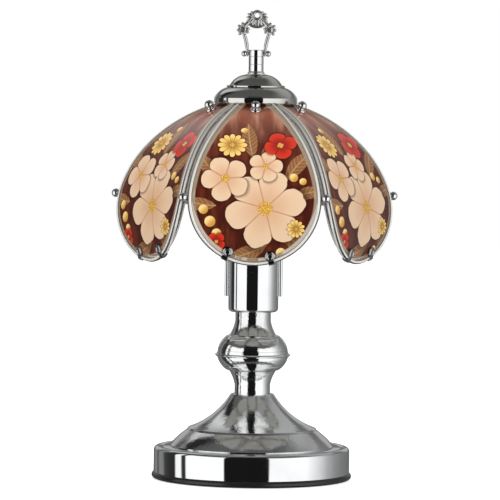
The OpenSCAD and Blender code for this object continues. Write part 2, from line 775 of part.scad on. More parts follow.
module bell() color(chrome) {
  step = [bell_step_r, bell_step_h];
  flare_foot = step + [-bell_bead_w, bell_bead_h];
  path = concat(
    [[bell_foot_r, 0]],
    bow_right([bell_foot_r, bell_band_h], step, bell_skirt_curve),
    bow_left(flare_foot, [bell_top_r, bell_h - bell_bevel], bell_flare_r),
    [[bell_top_r - bell_bevel, bell_h], [pipe_hole_r, bell_h]]);
  translate([0, 0, z_drum]) spun(path, spun_wall);
}

// Half of the neck, from the ring outwards: bowl, ledge, flare and tube
function neck_path(h, bowl_h) =
  let (ledge = [ledge_r, bowl_h], flare = [ledge_r - ledge_w, bowl_h + ledge_rise])
  concat(
    [[bowl_r, 0]],
    bow_right([bowl_r, bowl_band_h], ledge, bowl_curve),
    bow_left(flare, [neck_tube_r, bowl_h + neck_flare_h], neck_flare_curve),
    [[neck_tube_r, h], [pipe_hole_r, h]]);

module neck_lower() color(chrome) {
  translate([0, 0, z_ring]) mirror([0, 0, 1]) spun(neck_path(neck_lower_h, lower_bowl_h), spun_wall);
}

module neck_ring() color(chrome) {
  edge = ring_h / 2;
  profile = concat(
    [[pipe_hole_r, 0], [ring_r - edge, 0]],
    arc([ring_r - edge, edge], edge, -90, 90),
    [[pipe_hole_r, ring_h]]);
  translate([0, 0, z_ring]) rotate_extrude() polygon(profile);
}

module neck_upper() color(chrome) {
  translate([0, 0, z_upper]) spun(neck_path(neck_upper_h, upper_bowl_h), spun_wall);
}

// Socket

module socket_cup() color(chrome) {
  path = concat(
    [[pipe_hole_r, 0]],
    arc([cup_r - cup_corner, cup_corner], cup_corner, -90, 0),
    [[cup_r, cup_h]]);
  translate([0, 0, z_cup]) spun(path, spun_wall);
}

module at_socket_screws() {
  for (a = [90, 270]) rotate([0, 0, a]) translate([socket_screw_pcr, 0, 0]) children();
}

module socket_holder() color(steel) {
  boss_r = pipe_r + thread_clear + holder_boss_wall;
  difference() {
    union() {
      translate([0, 0, z_holder]) cylinder(r = boss_r, h = holder_boss_h + holder_plate_t);
      translate([0, 0, z_pipe_top]) cylinder(r = socket_r - holder_margin, h = holder_plate_t);
    }
    translate([0, 0, z_holder - over]) cylinder(r = pipe_r + thread_clear, h = holder_boss_h + over);
    translate([0, 0, z_holder])
      cylinder(r = pipe_r - pipe_wall, h = holder_boss_h + holder_plate_t + over);
    at_socket_screws() translate([0, 0, z_pipe_top - over])
      cylinder(r = socket_screw_r + thread_clear, h = holder_plate_t + 2 * over);
  }
}

module socket_body() color(porcelain) {
  difference() {
    translate([0, 0, z_socket]) cylinder(r = socket_r, h = socket_floor + well_depth);
    translate([0, 0, z_well]) cylinder(r = well_r, h = well_depth + over);
    translate([0, 0, z_socket - over]) cylinder(r = wire_space_r, h = wire_space_h + over);
    at_socket_screws() translate([0, 0, z_socket - over])
      cylinder(r = socket_screw_r + screw_clear, h = socket_floor + 2 * over);
  }
}

module screw_shell() color(brass) {
  difference() {
    translate([0, 0, z_well]) cylinder(r = shell_in_r + brass_t, h = well_depth - shell_drop);
    translate([0, 0, z_well + brass_t]) cylinder(r = shell_in_r, h = well_depth);
    translate([0, 0, z_well - over]) cylinder(r = contact_r + contact_room, h = brass_t + 2 * over);
    at_socket_screws() translate([0, 0, z_well - over])
      cylinder(r = socket_screw_r + screw_clear, h = brass_t + 2 * over);
  }
}

// Springy cup that presses on the bulb's tip
module middle_contact() color(brass) {
  path = [[contact_r, 0], [contact_r, brass_t], [bulb_tip_r, contact_h - contact_bevel],
          [bulb_tip_r - contact_bevel, contact_h], [0, contact_h]];
  translate([0, 0, z_well]) spun(path, brass_t);
}

module socket_screws() color(steel) {
  head_z = z_well + brass_t;
  at_socket_screws() {
    translate([0, 0, head_z]) cylinder(r = socket_head_r, h = socket_head_h);
    translate([0, 0, z_pipe_top]) cylinder(r = socket_screw_r, h = head_z - z_pipe_top + weld);
  }
}

// Bulb

module bulb_insulator() color(black) {
  tip_r = bulb_tip_r - bulb_tip_bevel;
  profile = [[0, 0], [tip_r, 0], [bulb_tip_r, bulb_tip_bevel],
             [bulb_base_r - bulb_taper_w + bulb_base_wall, bulb_insulator_h], [0, bulb_insulator_h]];
  translate([0, 0, z_tip]) rotate_extrude() polygon(profile);
}

module bulb_base() color(lead_grey) {
  foot = [bulb_base_r - bulb_taper_w, 0];
  path = concat(bow_right(foot, [bulb_base_r, bulb_taper_h], bulb_taper_w),
                [[bulb_base_r, bulb_base_h]]);
  translate([0, 0, z_base]) spun(path, bulb_base_wall);
}

// Outline of the globe and its neck, on the outside or t further in
function bulb_path(t) = concat(
  [[bulb_neck_r - t, z_sink]],
  ogee([bulb_neck_r - t, z_neck + bulb_neck_h], [bulb_r - t, z_globe], bulb_curve + t, bulb_r - t),
  arc([0, z_globe], bulb_r - t, 90 / arc_steps, 90));

module bulb_glass() color(frosted) {
  rotate_extrude() polygon(concat(bulb_path(0), flip(bulb_path(bulb_t))));
}

module bulb_stem() color(frosted) {
  foot_r = bulb_neck_r - bulb_t - bulb_fit;
  tip_z = z_filament - filament_legs;
  profile = [[0, z_sink], [foot_r, z_sink], [foot_r, z_sink + stem_foot_t],
             [stem_r, z_sink + stem_flare_h], [stem_r, tip_z], [0, tip_z]];
  difference() {
    rotate_extrude() polygon(profile);
    for (s = [-1, 1]) translate([s * stem_r / 2, 0, tip_z - filament_bite - bulb_fit])
      cylinder(r = filament_wire_r + bulb_fit, h = filament_bite + over);
  }
}

module bulb_filament() color(steel) {
  tip_z = z_filament - filament_legs;
  bend = 3 * filament_wire_r;
  half = [[stem_r / 2, tip_z - filament_bite], [stem_r / 2, tip_z + filament_legs / 6],
          [filament_half, z_filament - bend], [filament_half - bend, z_filament]];
  wire(concat(half, mirrored(half)), filament_wire_r, wire_sides);
}

// Harp

function harp_half() = concat(
  [[leg_x, z_cup + harp_foot]],
  ogee([leg_x, z_leg], [harp_bow, z_leg + harp_swing_h], harp_bend, harp_bend),
  [for (i = [0:arc_steps]) let (t = 90 * i / arc_steps)
    [harp_flat + (harp_bow - harp_flat) * cos(t), z_bar - harp_arch_h + harp_arch_h * sin(t)]]);

module harp() color(chrome) {
  wire(concat(harp_half(), mirrored(harp_half())), harp_wire_r, harp_sides);
}

module shade_stud() color(steel) {
  difference() {
    union() {
      translate([0, 0, z_bar - saddle_half]) cylinder(r = saddle_r, h = 2 * saddle_half);
      translate([0, 0, z_bar]) cylinder(r = stud_r, h = z_stud_top - z_bar);
    }
    translate([-saddle_r - over, 0, z_bar]) rotate([0, 90, 0])
      cylinder(r = harp_wire_r + thread_clear, h = 2 * (saddle_r + over));
  }
}

// Wiring

lead_low = z_cover + lead_r + lead_gap;
lead_end = module_y - module_d / 2 - lead_gap;

function lead_path() =
  let (c = [lead_bend, lead_low + lead_bend])
  concat([[lead_end, lead_low]], arc(c, lead_bend, -90, -180),
         [[0, z_socket + wire_space_h - lead_r]]);

// Two leads from the touch module, in through the pipe and up to the socket
module lamp_leads() color(lead_grey) {
  for (s = [-1, 1]) translate([s * lead_x, 0, 0]) rotate([0, 0, 90]) wire(lead_path(), lead_r, wire_sides);
}

// Sensing lead from the module to the washer, which joins it to the metal stand
module touch_lead() color(lead_grey) {
  foot_z = z_cover + module_h / 2;
  end_y = washer_r - lead_r;
  x = -washer_r / 3;
  path = concat(
    [[lead_end, foot_z]],
    arc([end_y + touch_bend, foot_z + touch_bend], touch_bend, -90, -180),
    [[end_y, z_weight - washer_t - lead_gap]]);
  translate([x, 0, 0]) rotate([0, 0, 90]) wire(path, lead_r, wire_sides);
}

// Shade

// Upright outline of a panel, grown by g, with its top left long for trimming
function outline(g) =
  let (top = asin(min((z_panel_high - flank_z) / (flank_r + g), 1)),
       half = concat(
         arc([0, z_round], panel_r + g, -90, flank_angle),
         arc([flank_x, flank_z], flank_r + g, flank_angle, top)))
  concat(half, [for (i = [len(half) - 1:-1:1]) [-half[i][0], half[i][1]]]);

// Bar across the panel with the outline's shape, from the axis outwards
module panel_bar(g) {
  rotate([90, 0, 0]) linear_extrude(panel_far) polygon(outline(g));
}

// Bent plate between two depths, measured outwards from the panel's face
module bent_plate(low, high, w = 4 * panel_r) {
  rotate([90, 0, -90]) linear_extrude(w, center = true) intersection() {
    difference() {
      translate([bend_d, z_bend]) circle(r = panel_bend + high);
      translate([bend_d, z_bend]) circle(r = panel_bend + low);
    }
    translate([over, z_panel_low]) square([panel_far, panel_span]);
  }
}

// Wedge that a panel may fill, so that it stays clear of its neighbours
module panel_wedge(gap) {
  apex = gap / sin(half_pitch);
  far_x = (panel_far - apex) * tan(half_pitch);
  translate([0, 0, z_panel_low]) linear_extrude(panel_span)
    polygon([[0, -apex], [-far_x, -panel_far], [far_x, -panel_far]]);
}

// Frame on a panel's face at distance d from the axis: children stand on it, outwards along Z
module on_face(d) {
  lean = asin((d - bend_d) / panel_bend);
  translate([0, -d, face_z(d, 0)]) rotate([lean, 0, 0]) children();
}

// Place of panel k, the first one in front
module at_panel(k) {
  rotate([0, 0, (k - 1) * 2 * half_pitch]) children();
}

// Place of the gap after panel k, with the gap's own middle plane at X = 0
module at_gap(k) {
  rotate([0, 0, (k - 1) * 2 * half_pitch + half_pitch]) children();
}

// Hole for a top screw, through the glass and the tab under it
module top_screw_hole() {
  depth = glass_t + tab_gap + tab_t + over;
  on_face(top_screw_d) translate([0, 0, -depth])
    cylinder(r = top_screw_r + screw_clear, h = depth + over);
}

// Room for the cap: the panels' tops run in under its lip and end outside the ribs' feet
module cap_room() {
  z_foot = z_cap - cap_gap;
  translate([0, 0, z_panel_low]) cylinder(r = glass_top_r, h = panel_span);
  z_room = z_panel_high + over;
  side_r = cap_r + cap_gap;
  rotate_extrude()
    polygon([[0, z_foot], [cap_foot_r + cap_gap, z_foot], [side_r, z_cap + cap_tuck_h], [side_r, z_room],
             [0, z_room]]);
}

module glass_panel(k) color(amber_glass) at_panel(k) {
  difference() {
    intersection() {
      bent_plate(-glass_t, 0);
      panel_bar(0);
      panel_wedge(panel_gap);
    }
    cap_room();
    top_screw_hole();
  }
}

module panel_rim(k) color(chrome) at_panel(k) {
  difference() {
    intersection() {
      bent_plate(-rim_depth, rim_rise);
      panel_bar(rim_rise);
      panel_wedge(panel_gap - rim_rise);
    }
    intersection() {
      panel_bar(-panel_rim_w);
      panel_wedge(panel_gap + panel_rim_w);
    }
    intersection() {
      bent_plate(-glass_t - glass_clear, glass_clear);
      panel_bar(glass_clear);
      panel_wedge(panel_gap - glass_clear);
    }
    cap_room();
  }
}

// Disc under the cap with a tab below each panel's top
module shade_hub() color(chrome) {
  tab_end = top_screw_d + tab_tail;
  difference() {
    union() {
      translate([0, 0, z_hub]) cylinder(r = hub_r, h = hub_t);
      for (k = [1:panels]) at_panel(k) intersection() {
        bent_plate(-glass_t - tab_gap - tab_t, -glass_t - tab_gap, tab_w);
        translate([-tab_w, -tab_end, z_bend]) cube([2 * tab_w, tab_end - hub_r + tab_lap, panel_bend]);
      }
    }
    translate([0, 0, z_hub - over]) cylinder(r = stud_hole_r, h = hub_t + 2 * over);
    for (k = [1:panels]) at_panel(k) top_screw_hole();
  }
}

// Half of a rib's strip, bent along under the panel on its side of the gap
module rib_half() {
  z_low = z_side - rib_tail;
  intersection() {
    rotate([0, 0, -half_pitch]) bent_plate(rib_depth, rib_depth + rib_t);
    translate([-rib_w / 2, -panel_far, z_low])
      cube([rib_w / 2, panel_far - rib_start, z_panel_high - z_low]);
  }
}

// Rib in the gap after panel k, folded along its middle, with a joggled foot on the hub
module shade_rib(k) color(chrome) at_gap(k) {
  difference() {
    union() {
      for (s = [0, 1]) mirror([s, 0, 0]) rib_half();
      translate([-rib_w / 2, -rib_start - rib_t, z_rib_joggle])
        cube([rib_w, rib_t, z_hub_top + rib_foot_t - z_rib_joggle]);
      translate([-rib_w / 2, -rib_start - rib_t, z_hub_top])
        cube([rib_w, rib_foot + rib_t, rib_foot_t]);
    }
    at_side_axis() translate([0, 0, -2 * side_depth])
      cylinder(r = side_screw_r + screw_clear, h = 2 * side_depth);
  }
}

module top_screws() color(steel) {
  seat = -glass_t - tab_gap - tab_t;
  for (k = [1:panels]) at_panel(k) on_face(top_screw_d) {
    translate([0, 0, seat - knob_gap - shade_head_h]) cylinder(r = shade_head_r, h = shade_head_h);
    translate([0, 0, seat - knob_gap - weld]) cylinder(r = top_screw_r, h = top_ball_h - seat);
  }
}

module top_knobs() color(chrome) {
  for (k = [1:panels]) at_panel(k) on_face(top_screw_d) translate([0, 0, knob_gap]) difference() {
    union() {
      cylinder(r = top_collar_r, h = top_collar_h - top_collar_bevel);
      translate([0, 0, top_collar_h - top_collar_bevel])
        cylinder(r1 = top_collar_r, r2 = top_waist_r, h = top_collar_bevel);
      cylinder(r = top_waist_r, h = top_ball_h);
      translate([0, 0, top_ball_h]) sphere(r = top_ball_r);
    }
    translate([0, 0, -over]) cylinder(r = top_screw_r + thread_clear, h = top_ball_h + over);
  }
}

// Axis of a side screw, square to the rims' outer corners
module at_side_axis() {
  translate([0, -corner_rho(z_side, rim_rise), z_side]) rotate([90 - side_tilt, 0, 0]) children();
}

module side_screws() color(steel) {
  for (k = [1:panels]) at_gap(k) at_side_axis() {
    translate([0, 0, -side_depth - side_gap - shade_head_h])
      cylinder(r = shade_head_r, h = shade_head_h);
    translate([0, 0, -side_depth - side_gap - weld])
      cylinder(r = side_screw_r, h = side_depth + side_gap + side_bite - knob_gap);
  }
}

module side_knobs() color(chrome) {
  for (k = [1:panels]) at_gap(k) at_side_axis() difference() {
    translate([0, 0, side_ball_h]) sphere(r = side_ball_r);
    translate([0, 0, -side_ball_r])
      cylinder(r = side_screw_r + thread_clear, h = side_ball_r + side_bite);
  }
}

// How far each panel's pair of clips was pushed round its end, in degrees
clip_turns = [-5.4, 0, 0, 0, 0, 5.5];

// Flat shape of a clip, its foot at the rim's edge and its round end up the glass
module clip_shape(foot, length) {
  translate([-clip_bend_half, -foot]) square([2 * clip_bend_half, foot + length / 2]);
  translate([0, length - clip_half_w]) circle(r = clip_half_w);
}

// That shape at an angle round the panel's lower end, drawn out through the panel
module clip_bar(foot, length, angle) {
  rotate([90, 0, 0]) linear_extrude(panel_far)
    translate([0, z_round]) rotate(angle) translate([0, -panel_r - rim_rise]) clip_shape(foot, length);
}

// Clip bent round the rim, with a tab on the glass outside and a shorter one inside
module bottom_clip(angle) {
  outer = rim_rise + clip_gap;
  inner = -rim_depth - clip_gap;
  foot = clip_gap + clip_t;
  intersection() {
    bent_plate(outer, outer + clip_t);
    clip_bar(foot, clip_length, angle);
  }
  intersection() {
    bent_plate(inner - clip_t, inner);
    clip_bar(foot, clip_length - clip_short, angle);
  }
  difference() {
    intersection() {
      bent_plate(inner - clip_t / 2, outer + clip_t / 2);
      clip_bar(foot, clip_length - clip_short, angle);
    }
    panel_bar(rim_rise + clip_gap);
  }
}

module bottom_clips() color(black) {
  apart = asin(clip_offset / (panel_r + rim_rise));
  for (k = [1:panels]) at_panel(k) for (s = [-1, 1]) bottom_clip(clip_turns[k - 1] + s * apart);
}

// Cap and crown

module cap_spacer() color(steel) {
  translate([0, 0, z_hub_top]) ring(stud_hole_r + spacer_wall, stud_hole_r, z_crown - cap_wall - z_hub_top);
}

module shade_cap() color(chrome) {
  path = concat(
    [[cap_foot_r, 0], [cap_r, cap_tuck_h]],
    bow_right([cap_r, cap_lip_h], [cap_top_r, cap_h - cap_bevel], cap_curve),
    [[cap_top_r - cap_bevel, cap_h], [stud_hole_r, cap_h]]);
  translate([0, 0, z_cap]) spun(path, cap_wall);
}

module crown_dome() color(chrome) {
  path = concat(
    [[crown_flange_r, 0], [crown_flange_r, crown_flange_t - cap_bevel],
     [crown_flange_r - cap_bevel, crown_flange_t]],
    bow_right([crown_r, crown_flange_t + crown_rise], [crown_top_r, crown_h - cap_bevel], crown_curve),
    [[crown_top_r - cap_bevel, crown_h], [stud_hole_r, crown_h]]);
  translate([0, 0, z_crown]) spun(path, cap_wall);
}

// Finial

// Tube that screws onto the stud and clamps the shade
module crown_tube() color(chrome) {
  profile = [[0, tube_h], [tube_r, tube_h], [tube_r, tube_foot_h], [tube_foot_r, tube_foot_h / 2],
             [tube_foot_r, 0], [0, 0]];
  bore_h = z_stud_top + stud_clear - z_tube;
  difference() {
    translate([0, 0, z_tube]) rotate_extrude() polygon(profile);
    translate([0, 0, z_tube - over]) cylinder(r = stud_r + thread_clear, h = bore_h + over);
    translate([-tube_r - over, 0, z_pin]) rotate([0, 90, 0])
      cylinder(r = pin_r + thread_clear, h = 2 * (tube_r + over));
  }
}

module bail_pin() color(chrome) {
  translate([-pin_ball_x, 0, z_pin]) rotate([0, 90, 0]) cylinder(r = pin_r, h = 2 * pin_ball_x);
  for (s = [-1, 1]) difference() {
    translate([s * pin_ball_x, 0, z_pin]) sphere(r = pin_ball_r);
    translate([s * (pin_flat_x - pin_ball_r), 0, z_pin]) cube(2 * pin_ball_r, center = true);
  }
}

// Arm of the bail from its eye to the leaf knot
module bail_arm() {
  end = [knot_x, knot_h - knot_r / 2];
  outer = bow_left([bail_x + bail_eye_t - weld, 0], end + [bail_arm_w / 2, 0], bail_arm_curve);
  inner = bow_left([bail_x + weld, 0], end - [bail_arm_w / 2, 0], bail_arm_curve);
  polygon(concat(outer, flip(inner)));
}

// Directions of the leaves round a knot
leaf_turns = [-150, -35, 15, 65, 150];

module leaf_knot() {
  translate([knot_x, knot_h]) {
    circle(r = knot_r);
    for (a = leaf_turns) rotate(a) {
      translate([leaf_reach, 0]) circle(r = leaf_r);
      translate([0, -stalk_half]) square([leaf_reach, 2 * stalk_half]);
    }
  }
}

// Bar from the leaf knot up to the shell
module bail_arch() {
  low = [knot_x, knot_h + knot_r / 2];
  high = [shell_foot_half - bail_arch_half, shell_h - shell_r * cos(45)];
  outer = bow_left(high + [0, bail_arch_half], low + [bail_arch_half, 0], bail_arch_curve);
  inner = bow_left(high - [0, bail_arch_half], low - [bail_arch_half, 0], bail_arch_curve);
  polygon(concat(outer, flip(inner)));
}

module shell_shape() {
  foot_z = shell_h - shell_foot_drop;
  translate([0, shell_h]) circle(r = shell_r);
  scroll = [shell_r + scroll_r, shell_h - scroll_drop];
  waist = shell_r * cos(45) - weld;
  right = [[shell_foot_half - shell_bevel, foot_z], [shell_foot_half, foot_z + shell_bevel],
           [waist, shell_h - waist], scroll - [0, scroll_r / 2], scroll];
  for (s = [0, 1]) mirror([s, 0]) translate(scroll) circle(r = scroll_r);
  polygon(concat(right, mirrored(right)));
}

// Flat cast loop: two arms with leaf knots, an arch and a round shell with an eye
module finial_bail() color(chrome) {
  translate([0, 0, z_pin]) difference() {
    union() {
      rotate([90, 0, 0]) linear_extrude(bail_t, center = true) difference() {
        union() {
          for (s = [0, 1]) mirror([s, 0]) {
            bail_arm();
            leaf_knot();
            bail_arch();
          }
          shell_shape();
        }
        translate([0, shell_h]) circle(r = shell_eye_r);
      }
      for (s = [-1, 1]) translate([s * (bail_x + bail_eye_t / 2), 0, 0]) rotate([0, 90, 0])
        cylinder(r = bail_eye_r, h = bail_eye_t, center = true);
    }
    translate([-2 * bail_x, 0, 0]) rotate([0, 90, 0])
      cylinder(r = pin_r + pin_clear, h = 4 * bail_x);
  }
}

felt_pad();
bottom_cover();
cover_screws();
base_drum();
cord_bushing();
base_weight();
touch_module();
pipe_washer();
lower_nut();
lamp_pipe();
bell();
neck_lower();
neck_ring();
neck_upper();
socket_cup();
upper_nut();
socket_holder();
socket_body();
screw_shell();
middle_contact();
socket_screws();
harp();
shade_stud();
lamp_leads();
touch_lead();
bulb_insulator();
bulb_base();
bulb_glass();
bulb_stem();
bulb_filament();
shade_hub();
top_screws();
top_knobs();
side_screws();
side_knobs();
bottom_clips();
cap_spacer();
shade_cap();
crown_dome();
crown_tube();
bail_pin();
finial_bail();
for (k = [1:panels]) glass_panel(k);
for (k = [1:panels]) panel_rim(k);
for (k = [1:panels]) shade_rib(k);
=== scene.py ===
import math

import bmesh
import bpy
from mathutils import Matrix, Vector


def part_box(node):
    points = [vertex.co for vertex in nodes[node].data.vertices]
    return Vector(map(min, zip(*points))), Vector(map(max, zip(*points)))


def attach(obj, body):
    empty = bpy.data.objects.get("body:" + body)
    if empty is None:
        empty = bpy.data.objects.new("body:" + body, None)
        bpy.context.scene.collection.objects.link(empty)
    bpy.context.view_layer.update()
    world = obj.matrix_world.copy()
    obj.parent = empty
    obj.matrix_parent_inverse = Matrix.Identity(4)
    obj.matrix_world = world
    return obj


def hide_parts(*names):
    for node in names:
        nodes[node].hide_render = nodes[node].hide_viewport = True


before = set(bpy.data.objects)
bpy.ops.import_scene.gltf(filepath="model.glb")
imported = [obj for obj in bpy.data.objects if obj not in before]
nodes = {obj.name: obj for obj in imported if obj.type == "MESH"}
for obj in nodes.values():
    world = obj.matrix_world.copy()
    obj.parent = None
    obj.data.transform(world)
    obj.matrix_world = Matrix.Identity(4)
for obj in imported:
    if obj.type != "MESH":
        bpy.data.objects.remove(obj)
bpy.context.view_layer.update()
mm = 0.001
turnSteps = 144  # facets round a turned piece
knobSteps = 40  # and round a small one
sharpAngle = math.radians(38)  # edges that bend more than this stay crisp


def span(node):  # lowest and highest corner of a node, in mm
    low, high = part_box(node)
    return low / mm, high / mm


def addObject(name, data):
    made = bpy.data.objects.new(name, data)
    bpy.context.scene.collection.objects.link(made)
    return made


# Camera

photoCamera = {
    "place": (0, -2.8, 0.3),
    "aim": (-0.00302, 0, 0.1763),
    "lean": 0.01189,  # radians, the photo is turned by a little
    "lens": 262.2,
    "sensor": 36,
    "farthest": 50,
}


def placeCamera(look):
    eye = Vector(look["place"])
    ahead = (Vector(look["aim"]) - eye).normalized()
    side = ahead.cross(Vector((0, 0, 1))).normalized()
    up = side.cross(ahead)
    right = side * math.cos(look["lean"]) + up * math.sin(look["lean"])
    view = Matrix((right, right.cross(ahead), -ahead)).transposed().to_4x4()
    view.translation = eye
    data = bpy.data.cameras.new("photoCamera")
    data.lens = look["lens"]
    data.sensor_width = look["sensor"]
    data.clip_end = look["farthest"]
    camera = addObject("photoCamera", data)
    camera.matrix_world = view
    bpy.context.scene.camera = camera


placeCamera(photoCamera)
bpy.context.scene.view_settings.view_transform = "Standard"


# Shader nodes


def newMaterial(name):
    made = bpy.data.materials.new(name)
    made.use_nodes = True
    made.node_tree.nodes.clear()
    return made, made.node_tree


def addNode(tree, kind, **settings):
    made = tree.nodes.new(kind)
    for key, value in settings.items():
        setattr(made, key, value)
    return made


def wire(tree, source, target):
    tree.links.new(source, target)


def feed(tree, socket, value):  # a number or a colour is set, and another node's output is wired in
    if isinstance(value, tuple):
        socket.default_value = (*value, 1)
    elif isinstance(value, (int, float)):
        socket.default_value = value
    else:
        wire(tree, value, socket)


def mathNode(tree, operation, *values):
    made = addNode(tree, "ShaderNodeMath", operation=operation)
    for socket, value in zip(made.inputs, values):
        feed(tree, socket, value)
    return made.outputs[0]


def times(tree, first, second):
    return mathNode(tree, "MULTIPLY", first, second)


def farFrom(tree, x, y):  # distance from the point 0, 0
    return mathNode(tree, "SQRT", mathNode(tree, "ADD", times(tree, x, x), times(tree, y, y)))


def degreesOf(tree, across, ahead):
    return mathNode(tree, "DEGREES", mathNode(tree, "ARCTAN2", across, ahead))


def splitPlace(tree, vector):
    made = addNode(tree, "ShaderNodeSeparateXYZ")
    wire(tree, vector, made.inputs[0])
    return made.outputs["X"], made.outputs["Y"], made.outputs["Z"]


def ownPlace(tree):
    return addNode(tree, "ShaderNodeTexCoord").outputs["Object"]


def attribute(tree, name):
    return addNode(tree, "ShaderNodeAttribute", attribute_name=name).outputs["Fac"]


def mixColor(tree, factor, first, second):
    made = addNode(tree, "ShaderNodeMix", data_type="RGBA")
    for index, value in ((0, factor), (6, first), (7, second)):
        feed(tree, made.inputs[index], value)
    return made.outputs[2]


def grey(level):
    return (level, level, level)


def ramp(tree, factor, stops):  # levels of grey along the way from 0 to 1
    made = addNode(tree, "ShaderNodeValToRGB")
    while len(made.color_ramp.elements) < len(stops):
        made.color_ramp.elements.new(0.5)
    for element, (place, level) in zip(made.color_ramp.elements, stops):
        element.position = place
        element.color = (*grey(level), 1)
    wire(tree, factor, made.inputs[0])
    return made.outputs[0]


def noiseOn(tree, vector, scale, detail=2.0, roughness=0.5):
    made = addNode(tree, "ShaderNodeTexNoise")
    settings = {"Vector": vector, "Scale": scale, "Detail": detail, "Roughness": roughness}
    for label, value in settings.items():
        feed(tree, made.inputs[label], value)
    return made.outputs[0]


def mapRange(tree, value, low, high, newLow=0.0, newHigh=1.0, smooth=True):
    kind = "SMOOTHSTEP" if smooth else "LINEAR"
    made = addNode(tree, "ShaderNodeMapRange", interpolation_type=kind)
    for socket, setting in zip(made.inputs, (value, low, high, newLow, newHigh)):
        feed(tree, socket, setting)
    return made.outputs[0]


def output(tree, shader):
    wire(tree, shader, addNode(tree, "ShaderNodeOutputMaterial").inputs["Surface"])


def mixShader(tree, factor, first, second):
    made = addNode(tree, "ShaderNodeMixShader")
    for socket, source in zip(made.inputs, (factor, first, second)):
        wire(tree, source, socket)
    return made.outputs[0]


# Studio

studio = {
    "worldLevel": 0.62,
    "worldTint": (1, 0.985, 0.965),
    "floorHalf": 4.0,
    "floorColor": 0.86,
    "floorLift": 0.62,
    "tentRadius": 2.0,
    "tentMiddle": 0.2,
    "tentFacets": (96, 48),
    "tentLevel": 1.25,
    "boxFoot": -46,  # the bright sheets of the tent reach between these heights, in degrees
    "boxTop": 28,
    "boxSoft": 2.5,
    "roofStart": 46,
    "roofEnd": 68,
    "roofLevel": 0.095,
    "underLevel": 0.10,
    "backdropStart": 145,
    "backdropSoft": 10,
    "backdropTop": 16,
    "backdropLevel": 0.36,
    "ragged": 7.0,  # how far the bands on the left waver, in degrees, and from where
    "raggedFrom": -92,
    "raggedTo": -112,
    "raggedScale": 1.6,
    # azimuth from the camera's side in degrees, counted to the right, and the brightness there
    "boxBands": ((-180, 0.12), (-170, 0.16), (-164, 0.07), (-158, 0.16), (-148, 0.20), (-142, 0.06),
                 (-136, 0.20), (-127, 0.19), (-121, 0.05), (-111, 0.03), (-100, 0.02), (-98, 0.92),
                 (-90, 0.92), (-88, 0.03), (-83, 0.03), (-81, 1.0), (-32, 1.0), (-31, 0.008),
                 (20, 0.008), (21, 1.0), (66, 1.0), (86, 0.66), (99, 0.40), (113, 0.26), (130, 0.19),
                 (158, 0.13), (180, 0.14)),
    "roofBands": ((-180, 0.06), (-174, 0.20), (-164, 0.40), (-150, 0.60), (-140, 0.50),
                  (-133, 0.02), (-118, 0.02), (-110, 0.09), (-60, 0.10), (-33, 0.10), (-29, 0.012),
                  (20, 0.012), (24, 0.10), (60, 0.12), (95, 0.20), (120, 0.32), (150, 0.34),
                  (170, 0.36), (175, 0.05), (180, 0.06)),
    # place and width in metres, and power
    "lamps": {
        "keyLamp": ((-1.2, -1.8, 1.5), 1.4, 20),
        "fillLamp": ((1.5, -1.5, 1.1), 1.4, 12),
        "topLamp": ((0, 0.3, 2.2), 1.6, 12),
    },
    "lampAim": (0, 0, 0.2),
}


def seesBackground(tree):  # 1 for the rays that show the background, 0 for those that light the object
    path = addNode(tree, "ShaderNodeLightPath").outputs
    seen = mathNode(tree, "MAXIMUM", path["Is Camera Ray"], path["Is Transmission Ray"])
    return mathNode(tree, "MAXIMUM", seen, path["Is Glossy Ray"])


def background(tree, color, strength):
    made = addNode(tree, "ShaderNodeBackground")
    feed(tree, made.inputs["Color"], color)
    feed(tree, made.inputs["Strength"], strength)
    return made.outputs[0]


def makeWorld(look):
    world = bpy.data.worlds.new("studioWorld")
    bpy.context.scene.world = world
    world.use_nodes = True
    tree = world.node_tree
    tree.nodes.clear()
    soft = background(tree, look["worldTint"], look["worldLevel"])
    both = mixShader(tree, seesBackground(tree), soft, background(tree, grey(1), 1))
    wire(tree, both, addNode(tree, "ShaderNodeOutputWorld").inputs["Surface"])


def floorMaterial(look):
    made, tree = newMaterial("paleFloor")
    diffuse = addNode(tree, "ShaderNodeBsdfDiffuse")
    feed(tree, diffuse.inputs["Color"], grey(look["floorColor"]))
    lift = addNode(tree, "ShaderNodeEmission")
    wire(tree, times(tree, seesBackground(tree), look["floorLift"]), lift.inputs["Strength"])
    both = addNode(tree, "ShaderNodeAddShader")
    wire(tree, diffuse.outputs[0], both.inputs[0])
    wire(tree, lift.outputs[0], both.inputs[1])
    below = addNode(tree, "ShaderNodeNewGeometry").outputs["Backfacing"]
    clear = addNode(tree, "ShaderNodeBsdfTransparent").outputs[0]
    output(tree, mixShader(tree, below, both.outputs[0], clear))
    return made


def addStage(name, bm, material):
    mesh = bpy.data.meshes.new(name)
    bm.to_mesh(mesh)
    bm.free()
    mesh.materials.append(material)
    made = addObject(name, mesh)
    return made


def makeFloor(look):
    bm = bmesh.new()
    half = look["floorHalf"]
    corners = ((-half, -half, 0), (half, -half, 0), (half, half, 0), (-half, half, 0))
    bm.faces.new([bm.verts.new(corner) for corner in corners])
    floor = addStage("floor", bm, floorMaterial(look))
    floor.visible_glossy = False  # the metal shows the tent instead


def bands(tree, share, stops):
    return ramp(tree, share, [((angle + 180) / 360, level) for angle, level in stops])


